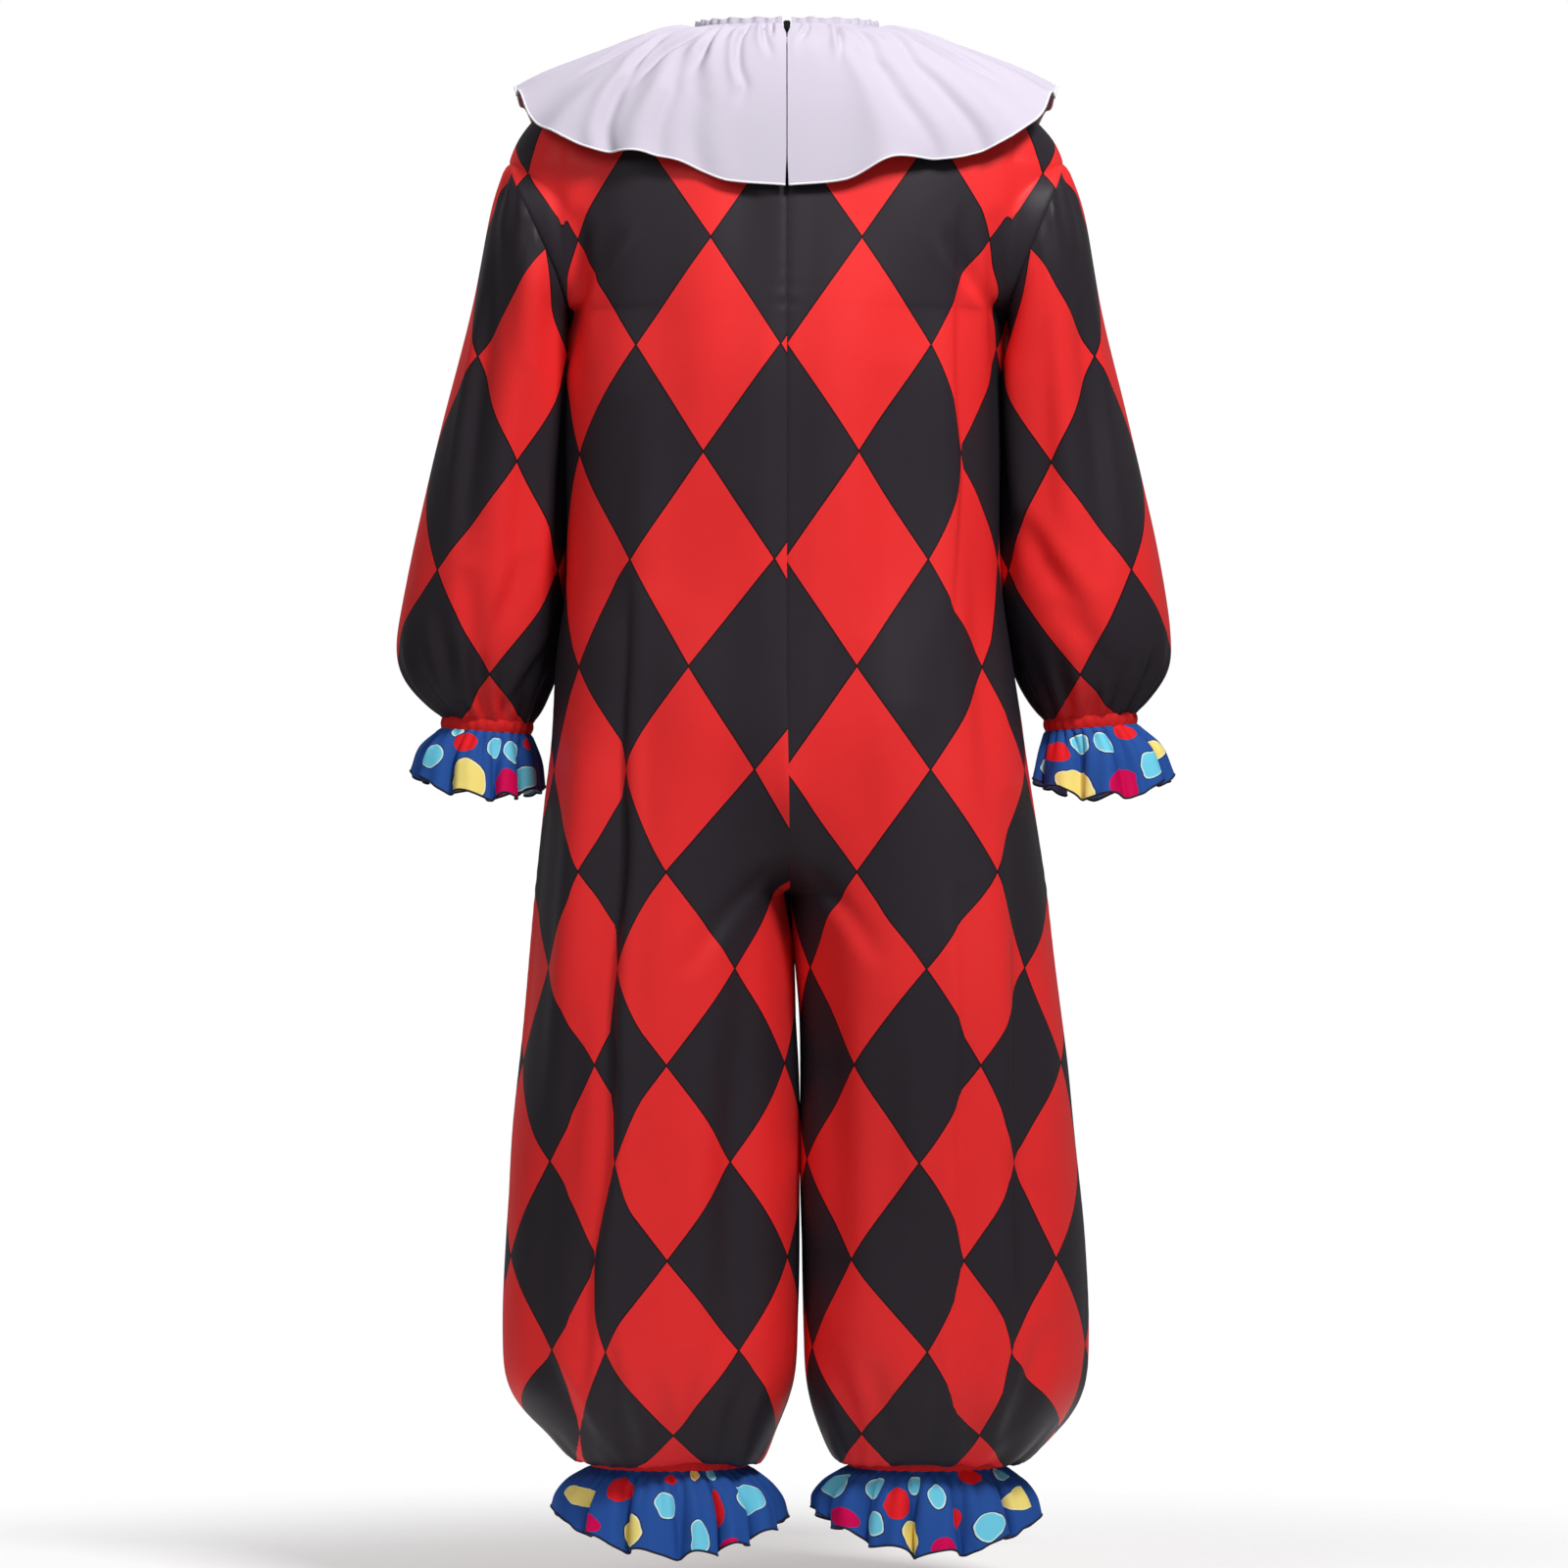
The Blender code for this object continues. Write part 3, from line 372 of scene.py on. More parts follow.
# Rings of one link of the coil, in millimetres: place across the gap, reach inward, radius
COIL_LINK = np.array((
    (-2.3, 0.35, 0.34), (-1.9, 1.15, 0.42), (0, 1.35, 0.42), (1.9, 1.15, 0.42), (2.3, 0.35, 0.34),
))
ZIP_FINISHES = {
    "zip_tape_left": "Zip tape", "zip_tape_right": "Zip tape",
    "zip_slider": "Zip metal", "zip_pull": "Zip metal",
}

SATIN = ("Harlequin satin", "Harlequin satin reverse")
DOTTED = ("Dotted cloth", "Dotted cloth reverse")
# The cut of each piece of cloth: width, length and area of one layer in metres, how it is held,
# the slot that it fills and its finishes outside and inside
CUTS = {
    "body": (0.45, 1.52, 0.50, "hung", "harlequin_cloth", SATIN),
    "sleeve": (0.54, 0.49, 0.23, "gathered", "harlequin_cloth", SATIN),
    "wrist_channel": (0.29, 0.0125, None, "gathered", "channel_cloth", ("Red channel cloth",)),
    "ankle_channel": (0.49, 0.0118, None, "gathered", "channel_cloth", ("Red channel cloth",)),
    "wrist_ruffle": (0.55, 0.063, None, "gathered", "dotted_cloth", DOTTED),
    "ankle_ruffle": (0.99, 0.072, None, "gathered", "dotted_cloth", DOTTED),
    "collar": (1.49, 0.175, None, "gathered", "collar_cloth", ("Collar cloth",)),
    "neck_band": (0.59, 0.011, None, "gathered", "collar_cloth", ("Collar cloth",)),
}

THREAD = 0.9 * MM
COLLAR_THREAD = 1.0 * MM
STITCH_PITCH = 1.8 * MM
STITCH_SLANT = 0.6
FADED_SATIN = (190, 175, 178)
FADED_DOTTED = (190, 195, 205)
DOT_WOBBLE = 12 * MM
RING_LINE = 0.8 * MM
PALE_RING_WIDTH = 1.3 * MM

FLOOR_HEIGHT = -1.475
FLOOR_RADIUS = 1.4
SOFT_LIGHT = 0.22
CAMERA_LENS = 191.5
CAMERA_PLACE = (0.0028, 8.0, -0.6956)
# Lights: place, size, power in watts, the point each one faces, and whether gloss shows it
LIGHTS = (
    ("Key light", (-1.0, 1.7, 1.5), 0.6, 74, (0, 0, -0.3), True),
    ("Fill light", (1.5, 2.2, 1.2), 1.2, 17, (0, 0, -0.2), True),
    ("Front light", (1.1, -2.0, 1.4), 0.8, 52, (0, 0, -0.4), False),
    ("Top light", (0.0, 0.0, 2.2), 1.4, 7, (0, 0, -0.2), True),
)


# Shapes


def smooth(table, t):
    """Values of a table's rows at fractions t of its row count, with no overshoot between rows."""
    table = np.asarray(table, float)
    steps = np.diff(table, axis=0)
    before, after = steps[:-1], steps[1:]
    total = np.where(before + after == 0, 1, before + after)
    inside = np.where(before * after > 0, 2 * before * after / total, 0)
    slopes = np.concatenate((steps[:1], inside, steps[-1:]))
    t = np.asarray(t, float)
    low = np.clip(np.floor(t).astype(int), 0, len(table) - 2)
    x = (t - low).reshape(t.shape + (1,) * (table.ndim - 1))
    start = (2 * x**3 - 3 * x**2 + 1) * table[low] + (x**3 - 2 * x**2 + x) * slopes[low]
    end = (3 * x**2 - 2 * x**3) * table[low + 1] + (x**3 - x**2) * slopes[low + 1]
    return start + end


def ease(x):
    """0 below 0 and 1 above 1, with a smooth rise between."""
    x = np.clip(x, 0, 1)
    return x * x * (3 - 2 * x)


def bell(x, width):
    """A smooth hump, 1 high at 0."""
    return np.exp(-((x / width) ** 2))


def arch(share, power=1):
    """A hump that is 1 high at share 0.5 and 0 from shares 0 and 1 outward."""
    return np.sin(np.pi * np.clip(share, 0, 1)) ** power


def turns(count):
    """Evenly spaced angles of one full turn."""
    return 2 * np.pi * np.arange(count) / count


def body_section(t):
    """The body's measures at rows t, in metres, by name."""
    values = smooth(BODY, t) * MM
    return {name: values[..., k] for k, name in enumerate(BODY_COLUMNS)}


def rounded(angle, squareness):
    """Sideways and depth shares of a point on a rounded square."""
    s, c = np.sin(angle), np.cos(angle)
    reach = (np.abs(s) ** squareness + np.abs(c) ** squareness) ** (-1 / squareness)
    return s * reach, c * reach


def leg_share(t, u):
    """How far a section has turned from one torso into two legs."""
    fork = np.clip((t - FORK_TOP) / (CROTCH - FORK_TOP), 0, 1)
    seam = 1 - np.sqrt(1 - fork * fork)
    slow = ease((t - HIP_TOP) / (HIP_BOTTOM - HIP_TOP))
    near = np.maximum(0.0, 1 - u / SEAM_SHARE) ** 2
    return slow + (seam - slow) * near


def body_surface(side, face, t, u, armholes=True):
    """Points of the body's form at rows t and spots u, which run from centre to side seam."""
    side, face, t, u = np.broadcast_arrays(side, face, t, u)
    row = body_section(t)
    left = side > 0
    depth = np.where(face > 0, row["back"], row["front"])
    out = np.where(left, row["out_left"], -row["out_right"])
    notch = np.where((face > 0) & (t < 1), NOTCH_HALF_WIDTH * (1 - t), 0)
    start = row["seam"] + side * notch
    share = 2 * (t - ARMHOLE_TOP) / (ARMHOLE_BOTTOM - ARMHOLE_TOP) - 1
    edge = ARMHOLE_HALF_DEPTH * np.sqrt(np.maximum(0.0, 1 - share * share))
    plain_s, plain_c = rounded(math.pi / 2 * u, SQUARENESS_TORSO)
    plain = np.stack((start + (out - start) * plain_s, depth * plain_c), -1)
    width = out + side * CREASE_BULGE * edge / ARMHOLE_HALF_DEPTH
    down = CREASE_DEPTH * edge / depth
    crease = np.arctan2((1 - down**SQUARENESS_TORSO) ** (1 / SQUARENESS_TORSO), down)
    even = (1 - edge / ARMHOLE_HALF_DEPTH) * ease((CREASE_SPOT - u) / 0.5)
    angle = crease * np.minimum(u / CREASE_SPOT, 1)
    s, c = rounded(angle + (math.pi / 2 * u - angle) * even, SQUARENESS_TORSO)
    creased = np.stack((start + (width - start) * s, depth * c), -1)
    turn = (np.maximum(u - CREASE_SPOT, 0) / (1 - CREASE_SPOT))[..., None]
    creased = creased + (np.stack((out, edge), -1) - creased) * turn
    torso = np.where((armholes & (edge > 0))[..., None], creased, plain)
    inner = np.where(left, row["in_left"], row["in_right"])
    inner = np.where(t > CROTCH, inner, start)
    s, c = rounded(np.radians(180 * u - 90), SQUARENESS_LEG)
    leg = np.stack(((inner + out) / 2 + (out - inner) / 2 * s, depth * c), -1)
    flat = torso + (leg - torso) * leg_share(t, u)[..., None]
    y = np.maximum(flat[..., 1], 0)
    drop = np.where(face < 0, row["drop"] * (y / depth) ** 2, 0)
    return np.stack((flat[..., 0], face * y, row["height"] - drop), -1)


def unit(vectors):
    return vectors / np.maximum(np.linalg.norm(vectors, axis=-1, keepdims=True), 1e-12)


def grid_normals(points, closed, outward):
    """Unit normals of a grid whose rows run down and columns run round."""
    if closed:
        round_ = np.roll(points, -1, axis=1) - np.roll(points, 1, axis=1)
    else:
        round_ = np.gradient(points, axis=1)
    return outward * unit(np.cross(round_, np.gradient(points, axis=0)))


def raised(points, closed, outward, height):
    """A grid moved along its normals, to the new points only."""
    return points + grid_normals(points, closed, outward) * height[..., None]


def relax(points, passes, closed=False):
    """Softens a grid. Its edges are softened along themselves only, and its corners stay."""
    for _ in range(passes):
        soft = points.copy()
        soft[1:-1] = 0.5 * points[1:-1] + 0.25 * (points[:-2] + points[2:])
        if closed:
            soft = 0.5 * soft + 0.25 * (np.roll(soft, 1, 1) + np.roll(soft, -1, 1))
            soft[[0, -1]] = points[[0, -1]]
        else:
            row = soft[1:-1].copy()
            soft[1:-1, 1:-1] = 0.5 * row[:, 1:-1] + 0.25 * (row[:, :-2] + row[:, 2:])
        points = soft
    return points


def arc_lengths(points, axis):
    """Length along a grid up to each of its points."""
    steps = np.linalg.norm(np.diff(points, axis=axis), axis=-1)
    return np.insert(np.cumsum(steps, axis=axis), 0, 0, axis=axis)


def body_rows():
    """The rows of every body panel, evenly down the cloth and closer at armhole and crotch."""
    fine = np.linspace(0, LAST, 6000)
    length = arc_lengths(body_surface(1, 1, fine, 0.5), 0)
    count = int(length[-1] / BODY_ROW_STEP)
    even = np.interp(np.linspace(0, length[-1], count), length, fine)
    armhole = ARMHOLE_TOP + (1 - np.cos(np.pi * np.arange(ARMHOLE_STEPS + 1) / ARMHOLE_STEPS)) / 2
    fork = FORK_TOP + np.sin(np.linspace(0, math.pi / 2, FORK_STEPS))
    fork[-1] = CROTCH
    keep = (even < ARMHOLE_TOP) | (even > ARMHOLE_BOTTOM)
    keep &= (even < FORK_TOP) | (even > CROTCH)
    return np.unique(np.concatenate((even[keep], armhole, fork)))


def groove(away, inner, outer, ridge):
    """A valley with an inner and an outer slope, and a low ridge beside the inner one."""
    valley = bell(away, np.where(away < 0, inner, outer) * MM)
    return valley - ridge * bell(away + 1.7 * inner * MM, 1.1 * inner * MM)


def crease_depth(x, z, face):
    """How far the creases press the cloth in at points of one face."""
    depth = np.zeros_like(x)
    for line_face, x0, z0, x1, z1, deep, inner, outer, bow in CREASES:
        if line_face == face:
            along = (z / MM - z0) / (z1 - z0)
            side = 1 if x0 + x1 > 0 else -1
            middle = x0 + (x1 - x0) * np.clip(along, 0, 1) + side * bow * arch(along)
            away = side * (x - middle * MM)
            depth += deep * MM * arch(along, 0.7) * groove(away, inner, outer, 0.35)
    return depth


def lap_lines(side, face, x, z):
    """(greatest depth, distance past, hidden cloth, share of the way down) of a panel's lapped folds."""
    for where, deep, line in LAPS:
        if where == (side, face):
            heights, places, hidden = np.array(line[::-1]).T * MM
            share = (heights[-1] - z) / (heights[-1] - heights[0])
            at = np.interp(z, heights, places) + LAP_SWAY * np.sin(z / (38 * MM))
            yield deep, side * x - at, np.interp(z, heights, hidden), share


def lap_height(side, face, x, z):
    """Height of the cloth at lapped folds: a soft lip, a steep step down and a slow way back."""
    total = np.zeros_like(x)
    for deep, past, _, share in lap_lines(side, face, x, z):
        lip = 0.3 * bell(past + 11 * MM, 9 * MM)
        step = ease((past + 3.5 * MM) / (7 * MM)) * np.exp(-np.maximum(past, 0) / (20 * MM))
        total += deep * MM * arch(share, 0.6) * (lip - step)
    return total


def lap_take(side, face, x, z):
    """Length of cloth that lapped folds hide between the middle of a panel and each point."""
    total = np.zeros_like(x)
    for _, past, hidden, _ in lap_lines(side, face, x, z):
        near = np.clip((past + 30 * MM) / (30 * MM), 0, 1)
        at_step = ease((past + 3 * MM) / (6 * MM))
        total += hidden * (0.38 * near * near + 0.48 * at_step + 0.14 * ease(past / (30 * MM)))
    return total


def soft_waves(x, z, seed, strength):
    """Broad uneven undulation of hanging cloth: long waves that run mostly down it."""
    draw = np.random.default_rng(seed)
    total = np.zeros_like(x)
    for _ in range(6):
        wide = draw.uniform(70, 170) * MM
        tall = draw.uniform(420, 1100) * MM * draw.choice((-1, 1))
        swell = draw.uniform(0.5, 1.0) * strength
        start = draw.uniform(0, 2 * math.pi)
        drift = 0.35 * np.sin(2 * math.pi * z / (310 * MM) + draw.uniform(0, 6))
        total += swell * np.sin(2 * math.pi * (x / wide + z / tall) + start + drift)
    return total


def meet_seams(points, side, face, t):
    """Brings a softened panel's edges back to the seams that it shares with the next panels."""
    home = body_surface(side, face, t, 0.0)
    shift = np.zeros_like(home)
    shift[:, 0] = (home[:, 0] - points[:, 0, 0]) * (1 - ease((t - CROTCH) / 0.6))
    shift[:, 1] = (home[:, 1] - points[:, 0, 1]) * ease((t - CROTCH + 0.1) / 0.08)
    fade = np.exp(-arc_lengths(points, 1) / SEAM_REACH)
    points = points + shift[:, None] * fade[..., None]
    points[(t <= ARMHOLE_TOP) | (t >= ARMHOLE_BOTTOM), -1, 1] = 0
    return points


@functools.cache
def panel(side, face):
    """(points, normals, rows, spots) of a body panel with its creases, seam roll and gathers."""
    sizes = bpy.context.scene.jumpsuit_sizes
    t = body_rows()
    u = np.concatenate(([0, 0.003, 0.007], np.linspace(0.012, 0.988, BODY_SPOTS), [0.993, 0.997, 1]))
    rows, spots = np.meshgrid(t, u, indexing="ij")
    points = relax(body_surface(side, face, rows, spots), 10)
    x, z = points[..., 0], points[..., 2]
    across = arc_lengths(points, 1)
    from_seam = np.minimum(across, across[:, -1:] - across)
    waves = soft_waves(x, z, 11 + 2 * side + face, BODY_WAVES)
    pulses = 10 * spots + 0.55 * np.sin(8 * spots + side) + 0.2 * np.sin(19 * spots + face)
    drawn_in = arch((rows - GATHER_TOP) / (LAST + 0.4 - GATHER_TOP), 1.5)
    gathers = ANKLE_GATHERS * drawn_in * np.sin(2 * math.pi * pulses)
    gathers *= 0.65 + 0.35 * np.sin(5 * spots + 2 * side)
    folds = (lap_height(side, face, x, z) - crease_depth(x, z, face)) * sizes.fold_strength
    pucker = PUCKER * np.exp(-from_seam / (7 * MM)) * np.sin(2 * math.pi * z / PUCKER_PITCH)
    pucker *= ease(from_seam / (2 * MM))
    fork = bell(rows - CROTCH + 0.3, 0.8) * ease((0.4 - spots) / 0.3)
    roll = sizes.seam_roll * np.exp(-from_seam / (2.2 * MM)) * (1 - fork)
    armpit = bell(z - ARMPIT_HEIGHT, 75 * MM) * ease((spots - 0.8) / 0.2)
    outward = (waves + folds + gathers) * ease(from_seam / (28 * MM)) * ease(rows)
    outward += pucker - roll + FULLNESS + ARMPIT_FULLNESS * armpit
    points = raised(points, False, side * face, outward)
    droop = arch(np.clip((rows - DROOP_TOP) / (LAST - DROOP_TOP), 0, 1) ** 1.6, 2)
    points[..., 2] -= DROOP * droop * (0.8 + 0.2 * np.sin(9 * spots + side))
    points = meet_seams(relax(points, 1), side, face, t)
    return points, grid_normals(points, False, side * face), t, u


def panel_print(side, face):
    """Where each point of a body panel lies on the printed cloth, in metres."""
    points, _, t, u = panel(side, face)
    plain = body_surface(side, face, t[:, None], u)
    section = body_section(t)
    heights = section["height"]
    x, z = points[..., 0], points[..., 2]
    length = arc_lengths(points, 1)
    height = z + heights[:, None] - plain[..., 2]
    if face > 0:
        high = ease((z + 275 * MM) / (90 * MM))
        height = height + SHOULDER_DROP * ease((side * x - SHOULDER_FOLD) / (6 * MM)) * high
    grain_z, grain_x = np.array(GRAIN[side, face][::-1]).T * MM
    grain = np.interp(height.mean(axis=1), grain_z, grain_x)
    lines = zip(grain, np.maximum.accumulate(side * x, axis=1), length)
    at_grain = [np.interp(g, line, arc) for g, line, arc in lines]
    s = side * (HALF_WIDTH + length - np.array(at_grain)[:, None] + lap_take(side, face, x, z))
    slack_z, slack = np.array(SLACK[::-1]).T
    profile = np.stack((section["back" if face > 0 else "front"], heights), -1)
    steps = np.linalg.norm(np.diff(profile, axis=0), axis=1)
    steps *= np.interp((heights[1:] + heights[:-1]) / 2, slack_z * MM, slack)
    lowest = np.argmin(heights) + 1
    down = np.insert(np.cumsum(steps), 0, 0)[:lowest][::-1]
    rising = heights[:lowest][::-1]
    v = np.interp(height, rising, down) - np.interp(PRINT_TOP, rising, down)
    return np.stack((s, v), -1)


def ring_points(side, row, angles):
    """Points round a ring of a table, from its outer side by the back."""
    outer_x, outer_z, inner_x, inner_z, depth, lean, sag = row
    outer = np.array((side * outer_x, 0, outer_z)) * MM
    inner = np.array((side * inner_x, 0, inner_z)) * MM
    points = (outer + inner) / 2 + (outer - inner) / 2 * np.cos(angles)[:, None]
    points[:, 1] += (depth * np.sin(angles) + lean) * MM
    points[:, 2] -= sag * MM * np.sin(angles) ** 2
    return points


def sleeve_creases(side, turned, down):
    """How far a sleeve's creases press it in, at angles and lengths down it."""
    pressed = np.zeros(down.shape)
    for a0, v0, a1, v1, deep, inner, outer in SLEEVE_CREASES[side]:
        along = np.clip((down / MM - v0) / (v1 - v0), 0, 1)
        away = (np.degrees(turned) - (a0 + (a1 - a0) * along) + 180) % 360 - 180
        away = np.radians(away) * SLEEVE_RADIUS
        pressed += 1.1 * deep * MM * arch(along, 0.7) * groove(away, inner, outer, 0.4)
    return pressed


def sleeve_grid(side):
    """(points, normals, print) of a sleeve, whose first row is the body panels' armhole edge."""
    back, front = (
        points[(t >= ARMHOLE_TOP) & (t <= ARMHOLE_BOTTOM), -1]
        for points, _, t, _ in (panel(side, face) for face in (1, -1))
    )
    angles = turns(SLEEVE_AROUND)
    armhole = np.concatenate((back, front[-2:0:-1]))
    rings = np.array([armhole] + [ring_points(side, row, angles) for row in SLEEVE[side]])
    fine = np.linspace(0, len(rings) - 1, 600)
    length = arc_lengths(smooth(rings, fine), 0).mean(axis=1)
    even = np.linspace(0, length[-1], int(length[-1] / SLEEVE_ROW_STEP))
    points = relax(smooth(rings, np.interp(even, length, fine)), 12, closed=True)
    lengths = arc_lengths(points, 0).mean(axis=1)
    turned, down = np.meshgrid(angles, lengths)
    left = lengths[-1] - down
    waves = soft_waves(turned * SLEEVE_RADIUS, down, 31 + side, SLEEVE_WAVES)
    waves *= ease(np.degrees(turned) / 40) * ease((360 - np.degrees(turned)) / 40)
    folds = waves - sleeve_creases(side, turned, down) * bpy.context.scene.jumpsuit_sizes.fold_strength
    reach = (34 + 14 * np.sin(3 * turned + side)) * MM
    cap = CAP_GATHERS * np.exp(-down / reach) * ease((np.cos(turned) + 0.35) / 0.6)
    cap *= np.sin(17 * turned + 0.9 * np.sin(4 * turned)) + 0.25 * np.sin(29 * turned + side)
    wrist = WRIST_GATHERS * ease((105 * MM - left) / (90 * MM)) * (1 - 0.6 * ease(1 - left / (12 * MM)))
    wrist *= np.sin(15 * turned + 0.7 * np.sin(3 * turned + side))
    start = ease(down / (5 * MM))
    outward = folds * ease(down / (40 * MM)) * ease(left / (25 * MM))
    outward += cap * start + wrist + CAP_SWELL * start * np.exp(-down / (30 * MM))
    outward += SLEEVE_FULLNESS * arch(down / lengths[-1], 0.6)
    points = raised(points, True, -side, outward)
    under = ease((-np.cos(turned) - 0.2) / 0.8) * ease(down / (30 * MM))
    points[..., 0] -= side * ARMPIT_FULLNESS * under * bell(points[..., 2] - ARMPIT_HEIGHT, 85 * MM)
    points = np.roll(relax(points, 1, closed=True), -ARMHOLE_STEPS, axis=1)
    return points, grid_normals(points, True, -side), sleeve_print(points)


def looped(points):
    """A closed grid with its first column again at its end."""
    return np.concatenate((points, points[:, :1]), axis=1)


def sleeve_print(points):
    """Where each point of a sleeve lies on the printed cloth. Its first column is the seam under
    the arm."""
    column = int(round((SLEEVE_GRAIN_ANGLE + 180) / 360 * SLEEVE_AROUND))
    length = arc_lengths(looped(points), 1)
    s = HALF_WIDTH + length - length[:, column : column + 1]
    grain = points[:, column]
    down = arc_lengths(grain, 0) * SLEEVE_SLACK
    z = grain[:, 2]
    first = np.argmax(z < SLEEVE_PRINT_TOP)
    down = down - np.interp(SLEEVE_PRINT_TOP, z[first::-1], down[first::-1]) + HALF_HEIGHT
    level = ease((down[-1] - down) / (120 * MM))
    v = down[:, None] + level[:, None] * (z[:, None] - looped(points)[..., 2])
    return np.stack((s, v), -1)


def channel_grid(side, place):
    """A band of cloth puckered over its elastic."""
    angles = turns(CHANNEL_AROUND)
    ends = np.array([ring_points(side, row, angles) for row in CHANNELS[place][side]])
    share = np.linspace(0, 1, 9)
    points = ends[0] + (ends[1] - ends[0]) * (share * 1.34 - 0.17)[:, None, None]
    wobble = np.sin(angles * CHANNEL_PUCKERS[place] + 0.8 * np.sin(5 * angles))
    puff = arch(share)[:, None]
    outward = CHANNEL_LIFT + CHANNEL_PUFF * puff + CHANNEL_PUCKER * (0.35 + 0.65 * puff) * wobble
    points = raised(points, True, -side, outward)
    return points, grid_normals(points, True, -side), weave_print(points, closed=True)


def ruffle_grid(side, place):
    """A ruffle, shirred where it is sewn on and opening into fewer, deeper waves at its hem."""
    waves, depth, spread = RUFFLE_WAVES[place]
    phase = 0.7 + side
    angles = turns(RUFFLE_AROUND[place])
    rings = np.array([ring_points(side, row, angles) for row in RUFFLES[place][side]])
    share = np.linspace(0, 1, RUFFLE_ROWS[place])[:, None]
    points = smooth(rings, share[:, 0] * (len(rings) - 1))
    outer_x, outer_z, inner_x, inner_z = RUFFLES[place][side][-1][:4]
    across = unit(np.array((side * (outer_x - inner_x), 0, outer_z - inner_z)))
    cos, sin = np.cos(angles)[:, None], np.sin(angles)[:, None]
    back = np.array((0, 1, 0))
    radial = across * cos + back * sin
    tangent = back * cos - across * sin
    turn = waves * angles + phase + 0.9 * np.sin(2 * angles + phase) + 0.6 * np.sin(5 * angles + 2 * side)
    turn = turn + 0.5 * share * np.sin(3 * angles + side)
    size = 0.74 + 0.26 * np.sin(3 * angles + 1.3 * phase) * np.cos(2 * angles + 0.4)
    opened = ease(share / 0.8 + 0.12) ** 0.8 - ease(0.12) ** 0.8 * (1 - share)
    ripple = depth * opened * size * (np.sin(turn) + 0.3 * np.sin(2 * turn + 0.9))
    slide = spread * opened * size * np.cos(turn)
    fine = 3 * waves * angles + 1.1 * np.sin(3 * angles + phase)
    shirring = SHIRRING * (1 - share) ** 1.2 * ease(share / 0.08)
    edge = HEM_RIPPLE * share**3 * np.sin((3 * waves + 2) * angles + phase)
    points = points + radial * (ripple + shirring * np.sin(fine) + edge)[..., None]
    points = points - tangent * (slide + 0.5 * shirring * np.cos(fine))[..., None]
    points[..., 2] += 0.3 * ripple + HEM_CURL * share**4 * np.sin(turn + 0.9)
    s = ruffle_spot(side, place, np.append(angles, 2 * np.pi), arc_lengths(looped(points)[-1], 0))
    uv = np.stack(np.meshgrid(s, arc_lengths(points, 0).mean(axis=1)), -1)
    return points, grid_normals(points, True, -side), uv


def ruffle_spot(side, place, angles, lengths):
    """Place along the printed strip. It runs from the outer side round the back to the inner side,
    and the hidden half is cut from the same stretch, turned over at the side seams."""
    half = np.interp(np.pi, angles, lengths)
    along = np.where(angles <= np.pi, lengths, half * (lengths[-1] - lengths) / (lengths[-1] - half))
    return STRIP_START[place, side] + along / half * STRIP_LENGTH[place]


def weave_print(points, closed):
    """The lengths round and down a grid, for cloth with no printed pattern."""
    s = arc_lengths(looped(points) if closed else points, 1)
    return np.stack(np.meshgrid(s[len(s) // 2], arc_lengths(points, 0).mean(axis=1)), -1)


def around(angles):
    """(side, face, u) of the body at angles from the centre back, in degrees."""
    side = np.where(angles >= 0, 1, -1)
    face = np.where(np.abs(angles) <= 90, 1, -1)
    share = np.abs(angles) / 90
    return side, face, np.minimum(np.where(face > 0, share, 2 - share), 1.0)


def collar_angles(count):
    """Angles from the centre back and round to it again, in degrees, counted from -180 to 180."""
    angles = np.linspace(0, 360, count)
    angles = np.where(angles < 180, angles, angles - 360)
    angles[-1] = -1e-6
    return angles


